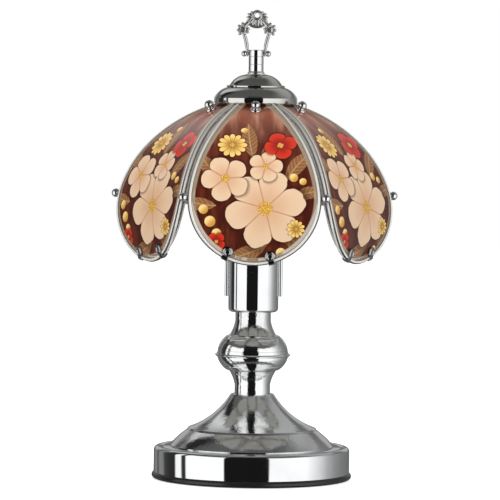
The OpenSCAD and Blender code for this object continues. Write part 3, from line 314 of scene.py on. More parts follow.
def tentMaterial(look):  # soft tent that is seen only in the gloss of the metal and the glass
    made, tree = newMaterial("softTent")
    spot = ownPlace(tree)
    x, y, z = splitPlace(tree, spot)
    azimuth = degreesOf(tree, x, times(tree, y, -1))
    height = degreesOf(tree, z, farFrom(tree, x, y))
    waver = mathNode(tree, "SUBTRACT", noiseOn(tree, spot, look["raggedScale"], detail=3), 0.5)
    leftOnly = mapRange(tree, azimuth, look["raggedFrom"], look["raggedTo"], 0, look["ragged"])
    azimuth = mathNode(tree, "MULTIPLY_ADD", waver, leftOnly, azimuth)
    share = mathNode(tree, "MULTIPLY_ADD", azimuth, 1 / 360, 0.5)
    soft = look["boxSoft"]
    roofed = mapRange(tree, height, look["roofStart"], look["roofEnd"])
    roof = mixColor(tree, roofed, bands(tree, share, look["roofBands"]), grey(look["roofLevel"]))
    aboveBox = mapRange(tree, height, look["boxTop"] - soft, look["boxTop"] + soft)
    upper = mixColor(tree, aboveBox, bands(tree, share, look["boxBands"]), roof)
    aboveFoot = mapRange(tree, height, look["boxFoot"] - soft, look["boxFoot"] + soft)
    whole = mixColor(tree, aboveFoot, grey(look["underLevel"]), upper)
    start = look["backdropStart"]
    behind = mapRange(tree, mathNode(tree, "ABSOLUTE", azimuth), start, start + look["backdropSoft"])
    low = mapRange(tree, height, 0, soft)
    under = mapRange(tree, height, look["backdropTop"] + soft, look["backdropTop"] - soft)
    backdrop = times(tree, behind, times(tree, low, under))
    whole = mixColor(tree, backdrop, whole, grey(look["backdropLevel"]))
    glow = addNode(tree, "ShaderNodeEmission")
    feed(tree, glow.inputs["Strength"], look["tentLevel"])
    wire(tree, whole, glow.inputs["Color"])
    output(tree, glow.outputs[0])
    return made


def makeTent(look):
    bm = bmesh.new()
    columns, rows = look["tentFacets"]
    bmesh.ops.create_uvsphere(bm, u_segments=columns, v_segments=rows, radius=look["tentRadius"])
    tent = addStage("tent", bm, tentMaterial(look))
    tent.location.z = look["tentMiddle"]
    for ray in ("camera", "diffuse", "transmission", "volume_scatter", "shadow"):
        setattr(tent, "visible_" + ray, False)


def makeLamps(look):
    for name, (place, size, power) in look["lamps"].items():
        data = bpy.data.lights.new(name, "AREA")
        data.size = size
        data.energy = power
        lamp = addObject(name, data)
        lamp.location = place
        way = Vector(look["lampAim"]) - Vector(place)
        lamp.rotation_euler = way.to_track_quat("-Z", "Y").to_euler()
        lamp.visible_glossy = False


makeWorld(studio)
makeFloor(studio)
makeTent(studio)
makeLamps(studio)
print("studio ready")


# Shared shader groups


def newGroup(name, inputs, outputs):  # an input with no first value is a vector, the rest are numbers
    tree = bpy.data.node_groups.new(name, "ShaderNodeTree")
    for label, value in inputs.items():
        kind = "NodeSocketVector" if value is None else "NodeSocketFloat"
        socket = tree.interface.new_socket(label, in_out="INPUT", socket_type=kind)
        if value is not None:
            socket.default_value = value
    for label in outputs:
        tree.interface.new_socket(label, in_out="OUTPUT", socket_type="NodeSocketFloat")
    return tree, addNode(tree, "NodeGroupInput").outputs, addNode(tree, "NodeGroupOutput").inputs


def useGroup(tree, group, **values):
    made = addNode(tree, "ShaderNodeGroup", node_tree=group)
    for label, value in values.items():
        feed(tree, made.inputs[label], value)
    return made.outputs


wiping = {"cloud": (0.45, 0.72), "finer": 14, "specks": (0.62, 0.72)}
turning = {"detail": 2}
waveScale = 170  # slow waves in a spun sheet, to the metre


def makeHandling(look):  # faint marks of wiping hands: a cloudy mask and finer specks
    tree, inside, outside = newGroup("handling", {"Scale": 40.0}, ("Marks", "Specks"))
    spot = ownPlace(tree)
    cloud = noiseOn(tree, spot, inside["Scale"], detail=3)
    fine = noiseOn(tree, spot, times(tree, inside["Scale"], look["finer"]))
    wire(tree, mapRange(tree, cloud, *look["cloud"]), outside["Marks"])
    wire(tree, mapRange(tree, fine, *look["specks"]), outside["Specks"])
    return tree


def makeGrain():  # fine uneven surface, for castings, plastic and felt
    tree, inside, outside = newGroup("grain", {"Scale": 900.0}, ("Height",))
    height = noiseOn(tree, ownPlace(tree), inside["Scale"], detail=4, roughness=0.6)
    wire(tree, height, outside["Height"])
    return tree


def makeTurnMarks(look):  # rings left by turning or spinning about an upright axis
    tree, inside, outside = newGroup("turnMarks", {"Pitch": 0.0004}, ("Height",))
    x, y, z = splitPlace(tree, ownPlace(tree))
    way = mathNode(tree, "ADD", z, farFrom(tree, x, y))
    rings = addNode(tree, "ShaderNodeTexNoise", noise_dimensions="1D")
    feed(tree, rings.inputs["Scale"], 1)
    feed(tree, rings.inputs["Detail"], look["detail"])
    wire(tree, mathNode(tree, "DIVIDE", way, inside["Pitch"]), rings.inputs["W"])
    wire(tree, rings.outputs[0], outside["Height"])
    return tree


handling = makeHandling(wiping)
grain = makeGrain()
turnMarks = makeTurnMarks(turning)


# Finishes


def principled(tree, plain):
    made = addNode(tree, "ShaderNodeBsdfPrincipled")
    for label, value in plain.items():
        feed(tree, made.inputs[label], value)
    output(tree, made.outputs[0])
    return made


def bumped(tree, shader, height, strength, distance):
    bump = addNode(tree, "ShaderNodeBump")
    feed(tree, bump.inputs["Strength"], strength)
    feed(tree, bump.inputs["Distance"], distance)
    wire(tree, height, bump.inputs["Height"])
    wire(tree, bump.outputs[0], shader.inputs["Normal"])


def glossMarks(tree, shader, scale, rough):  # gloss that is broken where hands have wiped
    marks = useGroup(tree, handling, Scale=scale)
    gloss = mapRange(tree, marks["Marks"], 0, 1, *rough, smooth=False)
    wire(tree, gloss, shader.inputs["Roughness"])
    return marks


def metal(name, color, dull, rough, markScale=40, grainScale=0, grainDepth=0, pitch=0, ringDepth=0,
          waveDepth=0, metallic=1.0, bump=0.5):
    made, tree = newMaterial(name)
    shader = principled(tree, {"Metallic": metallic})
    marks = glossMarks(tree, shader, markScale, rough)
    wire(tree, mixColor(tree, marks["Marks"], color, dull), shader.inputs["Base Color"])
    if grainScale:
        height = useGroup(tree, grain, Scale=grainScale)[0]
        bumped(tree, shader, height, bump, grainDepth)
    elif pitch:
        rings = useGroup(tree, turnMarks, Pitch=pitch)[0]
        waves = useGroup(tree, grain, Scale=waveScale)[0]
        height = mathNode(tree, "MULTIPLY_ADD", waves, waveDepth / ringDepth, rings)
        bumped(tree, shader, height, bump, ringDepth)
    return made


def plastic(name, color, dusty, rough, grainScale, grainDepth, coat=0.0, markScale=60, bump=0.6):
    made, tree = newMaterial(name)
    shader = principled(tree, {"Coat Weight": coat})
    marks = glossMarks(tree, shader, markScale, rough)
    wire(tree, mixColor(tree, marks["Specks"], color, dusty), shader.inputs["Base Color"])
    bumped(tree, shader, useGroup(tree, grain, Scale=grainScale)[0], bump, grainDepth)
    return made


def softGlass(name, color, dull, rough, through, markScale=50, grainScale=700, bump=0.2,
              grainDepth=0.00002):
    made, tree = newMaterial(name)
    shader = principled(tree, {"IOR": 1.5, "Transmission Weight": through})
    marks = glossMarks(tree, shader, markScale, rough)
    wire(tree, mixColor(tree, marks["Marks"], color, dull), shader.inputs["Base Color"])
    bumped(tree, shader, useGroup(tree, grain, Scale=grainScale)[0], bump, grainDepth)
    return made


def felt(name, dark, light, rough, sheen, fibreScale, bump, depth):
    made, tree = newMaterial(name)
    shader = principled(tree, {"Roughness": rough, "Sheen Weight": sheen})
    fibres = useGroup(tree, grain, Scale=fibreScale)[0]
    wire(tree, mixColor(tree, fibres, dark, light), shader.inputs["Base Color"])
    bumped(tree, shader, fibres, bump, depth)
    return made


def rimStrip(name, color, shadedTowardsCap, seam, rough, markScale, metallic):
    # bright strip, greyed towards the cap and darkened along its edges and groove by painted shade
    made, tree = newMaterial(name)
    shader = principled(tree, {"Metallic": metallic})
    glossMarks(tree, shader, markScale, rough)
    strip = mixColor(tree, attribute(tree, "climb"), color, shadedTowardsCap)
    edged = mixColor(tree, attribute(tree, "seam"), strip, seam)
    wire(tree, edged, shader.inputs["Base Color"])
    return made


finishLooks = {
    metal: {
        "chromePlate": {"color": (0.80, 0.81, 0.82), "dull": (0.76, 0.77, 0.78),
                        "rough": (0.025, 0.06)},
        "spunChrome": {"color": (0.80, 0.81, 0.82), "dull": (0.75, 0.76, 0.77),
                       "rough": (0.03, 0.07), "pitch": 0.0007, "ringDepth": 0.000004},
        # chrome darkened in colour as painted shade, for the cap and crown
        "shadedCapChrome": {"color": (0.64, 0.635, 0.60), "dull": (0.58, 0.575, 0.54),
                      "rough": (0.03, 0.07), "pitch": 0.0007, "ringDepth": 0.000004},
        "wavyChrome": {"color": (0.79, 0.80, 0.80), "dull": (0.70, 0.70, 0.69),
                       "rough": (0.03, 0.08), "pitch": 0.0007, "ringDepth": 0.000004,
                       "waveDepth": 0.0004},
        "castChrome": {"color": (0.64, 0.64, 0.63), "dull": (0.46, 0.46, 0.45),
                       "rough": (0.10, 0.22), "markScale": 300, "grainScale": 1400,
                       "grainDepth": 0.00005, "metallic": 0.88},
        "darkChrome": {"color": (0.40, 0.40, 0.40), "dull": (0.28, 0.28, 0.28),
                       "rough": (0.12, 0.24), "markScale": 120},
        "ribSteel": {"color": (0.60, 0.57, 0.52), "dull": (0.44, 0.41, 0.37), "rough": (0.25, 0.4),
                     "markScale": 120, "metallic": 0.35},
        "zincSteel": {"color": (0.58, 0.58, 0.55), "dull": (0.46, 0.45, 0.42),
                      "rough": (0.28, 0.42), "markScale": 90, "pitch": 0.0003,
                      "ringDepth": 0.00001},
        "castIron": {"color": (0.13, 0.13, 0.135), "dull": (0.09, 0.085, 0.08),
                     "rough": (0.55, 0.75), "markScale": 70, "grainScale": 700,
                     "grainDepth": 0.0004},
        "pressedBrass": {"color": (0.80, 0.58, 0.24), "dull": (0.66, 0.46, 0.18),
                         "rough": (0.18, 0.32), "markScale": 90},
        "rolledAluminium": {"color": (0.76, 0.76, 0.76), "dull": (0.62, 0.62, 0.61),
                            "rough": (0.22, 0.34), "markScale": 90},
        "drawnTungsten": {"color": (0.30, 0.30, 0.31), "dull": (0.2, 0.2, 0.2),
                          "rough": (0.35, 0.5), "markScale": 200},
    },
    rimStrip: {
        # painted shade: the strip greys towards the cap and darkens along its edges and groove
        "brightRim": {"color": (0.97, 0.95, 0.91), "shadedTowardsCap": (0.52, 0.49, 0.45),
                      "seam": (0.022, 0.020, 0.018), "rough": (0.14, 0.26), "markScale": 160,
                      "metallic": 0.25},
    },
    plastic: {
        "blackPlastic": {"color": (0.012, 0.012, 0.013), "dusty": (0.03, 0.03, 0.03),
                         "rough": (0.22, 0.34), "grainScale": 1500, "grainDepth": 0.00003},
        "blackRubber": {"color": (0.014, 0.014, 0.015), "dusty": (0.035, 0.034, 0.033),
                        "rough": (0.5, 0.65), "grainScale": 1200, "grainDepth": 0.00005},
        "leadCover": {"color": (0.50, 0.50, 0.51), "dusty": (0.40, 0.39, 0.38),
                      "rough": (0.45, 0.55), "grainScale": 1500, "grainDepth": 0.00003},
        "porcelain": {"color": (0.80, 0.78, 0.73), "dusty": (0.62, 0.58, 0.5),
                      "rough": (0.12, 0.2), "grainScale": 500, "grainDepth": 0.00003, "coat": 0.6},
        "insulatorGlass": {"color": (0.01, 0.01, 0.012), "dusty": (0.03, 0.03, 0.03),
                           "rough": (0.1, 0.2), "grainScale": 800, "grainDepth": 0.00002,
                           "coat": 0.5},
    },
    felt: {
        "darkFelt": {"dark": (0.006, 0.009, 0.008), "light": (0.045, 0.055, 0.05), "rough": 0.95,
                     "sheen": 0.1, "fibreScale": 1600, "bump": 0.9, "depth": 0.0004},
    },
    softGlass: {
        "frostedGlass": {"color": (0.90, 0.89, 0.86), "dull": (0.837, 0.8277, 0.7998),
                         "rough": (0.35, 0.49), "through": 0.25},
        "stemGlass": {"color": (0.92, 0.94, 0.94), "dull": (0.8556, 0.8742, 0.8742),
                      "rough": (0.06, 0.084), "through": 0.8},
    },
}
finishes = {name: make(name, **look) for make, looks in finishLooks.items()
            for name, look in looks.items()}
print("metals, plastics and glass ready")


# Printed glass: a spray of pale blossoms, bronze leaves and golden berries on a dark red-brown ground

printColors = {
    "ground": (0.065, 0.010, 0.005),
    "groundGlow": (0.150, 0.028, 0.011),
    # painted haze of light reflected from above, on the panels' upper part
    "paintedHaze": (0.30, 0.090, 0.050),
    "paintedHazePale": (0.56, 0.28, 0.18),
    "shadow": (0.030, 0.006, 0.004),
    "petal": (0.72, 0.45, 0.27),
    "petalPale": (0.80, 0.57, 0.38),
    "petalCrease": (0.52, 0.22, 0.12),
    "core": (0.50, 0.23, 0.04),
    "coreBright": (0.88, 0.58, 0.12),
    "poppy": (0.62, 0.035, 0.012),
    "poppyDark": (0.30, 0.010, 0.008),
    "gilt": (0.50, 0.25, 0.04),
    "giltBright": (0.92, 0.62, 0.18),
    "giltDark": (0.20, 0.08, 0.015),
    "leaf": (0.26, 0.115, 0.045),
    "leafBright": (0.50, 0.27, 0.12),
    "berry": (0.62, 0.32, 0.05),
    "berryBright": (0.95, 0.70, 0.28),
    "bare": (0.50, 0.38, 0.26),
    "inside": (0.42, 0.42, 0.41),
    # painted glow of the inner face
    "paintedInsideGlow": (0.13, 0.13, 0.125),
}
# Lengths in mm on the flat panel, counted up from the round end's middle
printLook = {
    "bareWidth": 5.0,
    "soft": 0.45,
    "bareAlpha": 0.5,
    # the painted haze of reflected light rises between these heights
    "paintedHazeLow": 40,
    "paintedHazeHigh": 92,
    "paintedHazeWaver": 26,
    "paintedHazeScale": 0.05,
    # painted shade under the cap lies between these heights
    "shadeLow": 84,
    "shadeHigh": 95,
    "shadeDepth": 0.9,
    "streakScale": (0.12, 0.02, 1),
    "streaks": (0.40, 0.68),
    "crease": 0.75,
    "pollenScale": 1.1,
    "pollen": (0.42, 0.62),
    "gloss": {"Roughness": 0.3, "IOR": 1.5, "Specular IOR Level": 0.12, "Coat Weight": 0.8,
              "Coat Roughness": 0.02, "Emission Strength": 1.0},
}
motifPlace = {"Place": None, "X": 0.0, "Y": 0.0, "Turn": 0.0}
# Shares of the petal's length, apart from the split between two petals, which is in mm
blossomShape = {"least": 0.50, "lobe": 0.42, "lobePower": 0.45, "waver": 0.18, "waverScale": 0.09,
                "edge": (0.985, 1.0), "shade": (0.1, 0.95), "shadow": (1.22, 0.98),
                "shadowDepth": 0.7, "split": (0.4, 2.6), "splitStart": 2.0, "veins": 62,
                "vein": (0.7, 1.0), "veinFade": (0.75, 0.25), "veinDepth": 0.5, "core": (0.17, 0.21)}
leafShape = {"bend": -1.2, "edge": (0.0, 0.35), "rib": (0.25, 0.6), "slantAcross": -1.6,
             "slantAlong": 1.7, "vein": (0.55, 1.0), "veinDepth": 0.6}
berryShape = {"edge": (0.93, 1.0), "speckleScale": 0.9, "speckle": 0.9, "light": (-0.5, 1.5)}


def around(tree, inside):  # coordinates about a motif's middle, turned, in mm
    x, y = splitPlace(tree, inside["Place"])[:2]
    dx = mathNode(tree, "SUBTRACT", x, inside["X"])
    dy = mathNode(tree, "SUBTRACT", y, inside["Y"])
    cosine = mathNode(tree, "COSINE", inside["Turn"])
    sine = mathNode(tree, "SINE", inside["Turn"])
    u = mathNode(tree, "ADD", times(tree, dx, cosine), times(tree, dy, sine))
    v = mathNode(tree, "SUBTRACT", times(tree, dy, cosine), times(tree, dx, sine))
    return u, v


def makeBlossom(look):  # round petals about a middle: outline, shade along the petals, creases and the core
    tree, inside, outside = newGroup("blossom", {**motifPlace, "Radius": 30.0, "Petals": 5.0},
                                     ("Shape", "Shade", "Crease", "Core", "Shadow"))
    u, v = around(tree, inside)
    far = farFrom(tree, u, v)
    angle = mathNode(tree, "ARCTAN2", v, u)
    half = times(tree, times(tree, angle, inside["Petals"]), 0.5)
    lobe = mathNode(tree, "ABSOLUTE", mathNode(tree, "COSINE", half))
    rounded = mathNode(tree, "POWER", lobe, look["lobePower"])
    reach = mathNode(tree, "MULTIPLY_ADD", rounded, look["lobe"], look["least"])
    waver = noiseOn(tree, inside["Place"], look["waverScale"])
    reach = mathNode(tree, "MULTIPLY_ADD", waver, look["waver"], reach)
    share = mathNode(tree, "DIVIDE", far, times(tree, reach, inside["Radius"]))
    wire(tree, mapRange(tree, share, *look["edge"], 1, 0), outside["Shape"])
    wire(tree, mapRange(tree, share, *look["shade"]), outside["Shade"])
    wire(tree, mapRange(tree, share, *look["shadow"], 0, look["shadowDepth"]), outside["Shadow"])
    apart = times(tree, lobe, mathNode(tree, "MAXIMUM", far, look["splitStart"]))
    split = mapRange(tree, apart, *look["split"], 1, 0)
    veins = mathNode(tree, "SINE", times(tree, angle, look["veins"]))
    fade = mapRange(tree, share, *look["veinFade"])
    veinMask = times(tree, mapRange(tree, veins, *look["vein"]), fade)
    crease = mathNode(tree, "MAXIMUM", split, times(tree, veinMask, look["veinDepth"]))
    wire(tree, crease, outside["Crease"])
    wire(tree, mapRange(tree, share, *look["core"], 1, 0), outside["Core"])
    return tree


def makeLeaf(look):  # pointed leaf with a middle rib and side veins
    tree, inside, outside = newGroup("leaf", {**motifPlace, "Length": 20.0, "Width": 6.0},
                                     ("Shape", "Vein"))
    u, v = around(tree, inside)
    share = mathNode(tree, "DIVIDE", u, inside["Length"])
    swell = mathNode(tree, "SUBTRACT", 1.0, times(tree, share, share))
    off = mathNode(tree, "ABSOLUTE", mathNode(tree, "MULTIPLY_ADD", swell, look["bend"], v))
    room = mathNode(tree, "SUBTRACT", times(tree, swell, inside["Width"]), off)
    wire(tree, mapRange(tree, room, *look["edge"]), outside["Shape"])
    rib = mapRange(tree, off, *look["rib"], 1, 0)
    along = times(tree, u, look["slantAlong"])
    slant = mathNode(tree, "SINE", mathNode(tree, "MULTIPLY_ADD", off, look["slantAcross"], along))
    sideVeins = times(tree, mapRange(tree, slant, *look["vein"]), look["veinDepth"])
    wire(tree, mathNode(tree, "MAXIMUM", rib, sideVeins), outside["Vein"])
    return tree


def makeBerry(look):  # round berry, lit on one side
    tree, inside, outside = newGroup("berry", {**motifPlace, "Radius": 4.0}, ("Shape", "Light"))
    u, v = around(tree, inside)
    share = mathNode(tree, "DIVIDE", farFrom(tree, u, v), inside["Radius"])
    wire(tree, mapRange(tree, share, *look["edge"], 1, 0), outside["Shape"])
    up = mathNode(tree, "DIVIDE", mathNode(tree, "SUBTRACT", v, u), inside["Radius"])
    speckle = noiseOn(tree, inside["Place"], look["speckleScale"])
    lit = mathNode(tree, "MULTIPLY_ADD", speckle, look["speckle"], up)
    wire(tree, mapRange(tree, lit, *look["light"]), outside["Light"])
    return tree


# Middles, sizes and turns of the motifs in mm and degrees on the flat panel; the round end's middle is 0, 0
spray = {
    "leaves": ((-31, 23, 128, 17, 6.5), (33, 27, 52, 17, 6), (-6, -40, 200, 17, 6),
               (30, -33, -40, 15, 6), (-3, 50, 96, 18, 6), (-40, -3, 170, 12, 5),
               (40, 4, 15, 12, 5), (12, 40, 60, 14, 5)),
    "berries": ((-33, -17, 4.2), (-38, -8, 3.6), (-28, -26, 3.8), (-8, 60, 2.8), (20, -40, 3.8),
                (29, 17, 3.4), (36, 14, 2.8)),
    "blossoms": ((8, -7, 30, 6, 14), (-22, 16, 18, 5, 40), (8, 26, 13, 5, 75)),
    "poppies": ((19, 45, 12.5, 4, 20), (-28, -32, 7, 4, 50)),
    "marigolds": ((-17, 45, 11, 12, 0), (31, -22, 6.5, 11, 20)),
}
# Deep, bright and crease colour of each kind of flower
petalColors = {
    "blossoms": ("petal", "petalPale", "petalCrease"),
    "poppies": ("poppyDark", "poppy", "poppyDark"),
    "marigolds": ("gilt", "giltBright", "giltDark"),
}


def printGround(tree, place, colors, look):  # streaky ground, paled upwards by a painted haze of reflected light and darkened under the cap by painted shade
    streaks = addNode(tree, "ShaderNodeMapping")
    streaks.inputs["Scale"].default_value = look["streakScale"]
    wire(tree, place, streaks.inputs["Vector"])
    glow = mapRange(tree, noiseOn(tree, streaks.outputs[0], 1.0, detail=3), *look["streaks"])
    ground = mixColor(tree, glow, colors["ground"], colors["groundGlow"])
    # painted haze of light reflected from above
    paintedHaze = mixColor(tree, glow, colors["paintedHaze"], colors["paintedHazePale"])
    up = splitPlace(tree, place)[1]
    waver = look["paintedHazeWaver"]
    uneven = noiseOn(tree, place, look["paintedHazeScale"], detail=3)
    rise = mathNode(tree, "MULTIPLY_ADD", uneven, waver, up)
    pale = mapRange(tree, rise, look["paintedHazeLow"] + waver / 2, look["paintedHazeHigh"] + waver / 2)
    ground = mixColor(tree, pale, ground, paintedHaze)
    # painted shade under the cap's lip
    shaded = mapRange(tree, up, look["shadeLow"], look["shadeHigh"], 0, look["shadeDepth"])
    return mixColor(tree, shaded, ground, colors["shadow"])


def printSpray(tree, place, color, colors, layout, look):
    blossom = makeBlossom(blossomShape)
    leaf = makeLeaf(leafShape)
    berry = makeBerry(berryShape)
    for x, y, degrees, length, width in layout["leaves"]:
        part = useGroup(tree, leaf, Place=place, X=x, Y=y, Turn=math.radians(degrees), Length=length,
                        Width=width)
        tone = mixColor(tree, part["Vein"], colors["leaf"], colors["leafBright"])
        color = mixColor(tree, part["Shape"], color, tone)
    for x, y, radius in layout["berries"]:
        part = useGroup(tree, berry, Place=place, X=x, Y=y, Radius=radius)
        tone = mixColor(tree, part["Light"], colors["berry"], colors["berryBright"])
        color = mixColor(tree, part["Shape"], color, tone)
    pollen = mapRange(tree, noiseOn(tree, place, look["pollenScale"]), *look["pollen"])
    core = mixColor(tree, pollen, colors["core"], colors["coreBright"])
    for kind, (deep, bright, crease) in petalColors.items():
        for x, y, radius, petals, degrees in layout[kind]:
            part = useGroup(tree, blossom, Place=place, X=x, Y=y, Turn=math.radians(degrees),
                            Radius=radius, Petals=petals)
            color = mixColor(tree, part["Shadow"], color, colors["shadow"])
            tone = mixColor(tree, part["Shade"], colors[deep], colors[bright])
            creased = times(tree, part["Crease"], look["crease"])
            tone = mixColor(tree, creased, tone, colors[crease])
            tone = mixColor(tree, part["Core"], tone, core)
            color = mixColor(tree, part["Shape"], color, tone)
    return color


def printedGlass(name, colors, layout, look):  # printed outside, bare along the rim, and grey within with a painted glow that stands in for light through the glass
    made, tree = newMaterial(name)
    shader = principled(tree, look["gloss"])
    place = addNode(tree, "ShaderNodeUVMap", uv_map="panelFlat").outputs[0]
    color = printGround(tree, place, colors, look)
    color = printSpray(tree, place, color, colors, layout, look)
    width, soft = look["bareWidth"], look["soft"]
    printed = mapRange(tree, attribute(tree, "edgeDistance"), width - soft, width + soft)
    color = mixColor(tree, printed, colors["bare"], color)
    cover = times(tree, attribute(tree, "innerFace"), printed)
    # painted glow on the inner face, standing in for light through the glass
    glow = mixColor(tree, cover, grey(0), colors["paintedInsideGlow"])
    wire(tree, glow, shader.inputs["Emission Color"])
    wire(tree, mixColor(tree, cover, color, colors["inside"]), shader.inputs["Base Color"])
    solid = mapRange(tree, printed, 0, 1, look["bareAlpha"], 1, False)
    wire(tree, solid, shader.inputs["Alpha"])
    return made


finishes["printedGlass"] = printedGlass("printedGlass", printColors, spray, printLook)
print("print on the glass ready")


# Mesh helpers, all in mm until a piece is added

tiny = 1e-6  # a radius below this is a point on the axis
weld = 1e-4  # points nearer than this become one


def arcPoints(centre, radius, first, last, steps):
    angles = [first + (last - first) * i / steps for i in range(steps + 1)]
    return [(centre[0] + radius * math.cos(a), centre[1] + radius * math.sin(a)) for a in angles]


def bow(start, end, radius, side=1, steps=16):  # arc that bulges to the left (1) or right (-1) of its way
    p, q = Vector(start), Vector(end)
    half = (q - p) / 2
    across = Vector((-half.y, half.x)).normalized()
    rise = math.sqrt(max(radius ** 2 - half.length_squared, 0))
    centre = p + half - across * rise * side
    first = math.atan2(p.y - centre.y, p.x - centre.x)
    last = math.atan2(q.y - centre.y, q.x - centre.x)
    return arcPoints(centre, radius, first, first + shortTurn(last - first), steps)


def shortTurn(angle):  # the same turn, by half a circle at most
    return (angle + math.pi) % (2 * math.pi) - math.pi


def filleted(corners, steps=5):  # closed outline; a corner may carry its rounding as a third number
    mostOfSide = 0.48
    points = []
    for i, corner in enumerate(corners):
        here = Vector(corner[:2])
        if len(corner) < 3:
            points.append(tuple(here))
            continue
        back = Vector(corners[i - 1][:2]) - here
        ahead = Vector(corners[(i + 1) % len(corners)][:2]) - here
        angle = back.angle(ahead)
        room = mostOfSide * min(back.length, ahead.length)
        reach = min(corner[2] / math.tan(angle / 2), room)
        radius = reach * math.tan(angle / 2)
        back.normalize()
        ahead.normalize()
        centre = here + (back + ahead).normalized() * radius / math.sin(angle / 2)
        start = here + back * reach - centre
        end = here + ahead * reach - centre
        first = math.atan2(start.y, start.x)
        turned = shortTurn(math.atan2(end.y, end.x) - first)
        points += arcPoints(centre, radius, first, first + turned, steps)
    return points


def sheet(outer, wall, plain=None):  # closed outline of a spun sheet; its wall lies left of its outer side
    points = [Vector(p[:2]) for p in plain or outer]
    inner = []
    last = len(points) - 2
    for i, here in enumerate(points):
        back, ahead = max(i, 1), min(i, last)
        before = (points[back] - points[back - 1]).normalized()
        after = (points[ahead + 1] - points[ahead]).normalized()
        first, second = Vector((-before.y, before.x)), Vector((-after.y, after.x))
        inner.append(tuple(here + (first + second) * wall / (1 + first.dot(second))))
    return filleted(list(outer) + inner[::-1])


def grooved(points, heights, width, depth):  # small turned grooves cut into an outline that runs up or down
    done = []
    for here, after in zip(points, points[1:]):
        done.append(here)
        low, high = sorted((here[1], after[1]))
        p, q = Vector(here), Vector(after)
        along = (q - p).normalized()
        inward = Vector((-along.y, along.x))
        if inward.x > 0:
            inward = -inward
        inside = [z for z in heights if low < z <= high and along.y]
        half = along * width / 2
        for z in sorted(inside, reverse=here[1] > after[1]):
            spot = p.lerp(q, (z - p.y) / (q.y - p.y))
            done += [tuple(spot - half), tuple(spot + inward * depth), tuple(spot + half)]
    return done + [points[-1]]


def circleAngles(steps):
    return [2 * math.pi * k / steps for k in range(steps)]


def joinRings(bm, first, second):
    count = max(len(first), len(second))
    if count == 1:
        return
    for k in range(count):
        after = (k + 1) % count
        if len(first) == 1:
            bm.faces.new((first[0], second[after], second[k]))
        elif len(second) == 1:
            bm.faces.new((first[k], first[after], second[0]))
        else:
            bm.faces.new((first[k], first[after], second[after], second[k]))


def turn(bm, outline, steps=turnSteps, place=None):  # closed outline turned about Z
    rings = []
    for radius, z in outline:
        if radius < tiny:
            ring = [(0, 0, z)]
        else:
            ring = [(radius * math.cos(a), radius * math.sin(a), z) for a in circleAngles(steps)]
        rings.append([bm.verts.new(p) for p in ring])
    for i, ring in enumerate(rings):
        joinRings(bm, ring, rings[(i + 1) % len(rings)])
    if place:
        bmesh.ops.transform(bm, matrix=place, verts=[v for ring in rings for v in ring])


def sweep(bm, sections):  # skins rings of points one after another and closes both ends
    rings = [[bm.verts.new(p) for p in section] for section in sections]
    for first, second in zip(rings, rings[1:]):
        joinRings(bm, first, second)
    bm.faces.new(rings[0])
    bm.faces.new(rings[-1])


def wayAt(points, i):  # direction of a path at one of its points
    return (points[min(i + 1, len(points) - 1)] - points[max(i - 1, 0)]).normalized()


def tube(bm, path, radius, sides=14):  # round bar along points; its radius may change on the way
    points = [Vector(p) for p in path]
    sections = []
    across = wayAt(points, 0).orthogonal().normalized()
    for i, p in enumerate(points):
        along = wayAt(points, i)
        across = (across - along * across.dot(along)).normalized()
        other = along.cross(across)
        size = radius(i / (len(points) - 1)) if callable(radius) else radius
        sections.append([p + across * size * math.cos(a) + other * size * math.sin(a)
                         for a in circleAngles(sides)])
    sweep(bm, sections)


def meshFrom(name, bm):  # finished mesh in metres
    bmesh.ops.recalc_face_normals(bm, faces=bm.faces)
    bmesh.ops.scale(bm, vec=(mm, mm, mm), verts=bm.verts)
    mesh = bpy.data.meshes.new(name)
    bm.to_mesh(mesh)
    bm.free()
    return mesh


def smoothShade(mesh):
    mesh.shade_smooth()
    mesh.set_sharp_from_angle(angle=sharpAngle)


def addPiece(name, bm, finish, body, slot, *stands):
    mesh = meshFrom(name, bm)
    smoothShade(mesh)
    mesh.materials.append(finishes[finish])
    made = addObject(name, mesh)
    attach(made, body)
    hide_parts(*stands)
    return made


def turned(name, outline, *place):  # a piece turned about the lamp's axis
    bm = bmesh.new()
    turn(bm, outline)
    return addPiece(name, bm, *place)


def applyModifiers(piece):
    bpy.context.view_layer.update()
    seen = piece.evaluated_get(bpy.context.evaluated_depsgraph_get())
    mesh = bpy.data.meshes.new_from_object(seen)
    piece.modifiers.clear()
    piece.data = mesh


# Base

base = {"edge": 3.0, "edgeSteps": 8, "footEdge": 0.2, "wall": 1.0, "ringRadius": 68.5,
        "ringWidth": 0.9, "ringDepth": 0.35, "pipeHole": 5.05, "rimLip": 3.0, "rimWall": 1.8,
        "rimFit": 0.2, "beadSteps": 12, "floor": 2.0, "feltEdge": 0.5, "feltFit": 0.2}
bushingHole = {"lap": 1.3, "start": 8.0, "length": 20.0, "steps": 48}


def makeDrum(sizes):
    low, high = span("base_drum")
    radius, top = high.x, high.z
    edge, wall, hole = sizes["edge"], sizes["wall"], sizes["pipeHole"]
    ring, half = sizes["ringRadius"], sizes["ringWidth"]
    under = top - wall
    outline = [(radius, low.z, sizes["footEdge"]), (radius, top, edge), (ring + half, top),
               (ring, top - sizes["ringDepth"]), (ring - half, top), (hole, top), (hole, under),
               (radius - wall, under, edge - wall), (radius - wall, low.z)]
    return turned("drumShell", filleted(outline, sizes["edgeSteps"]), "spunChrome", "stand",
                  "chrome_plate", "base_drum")


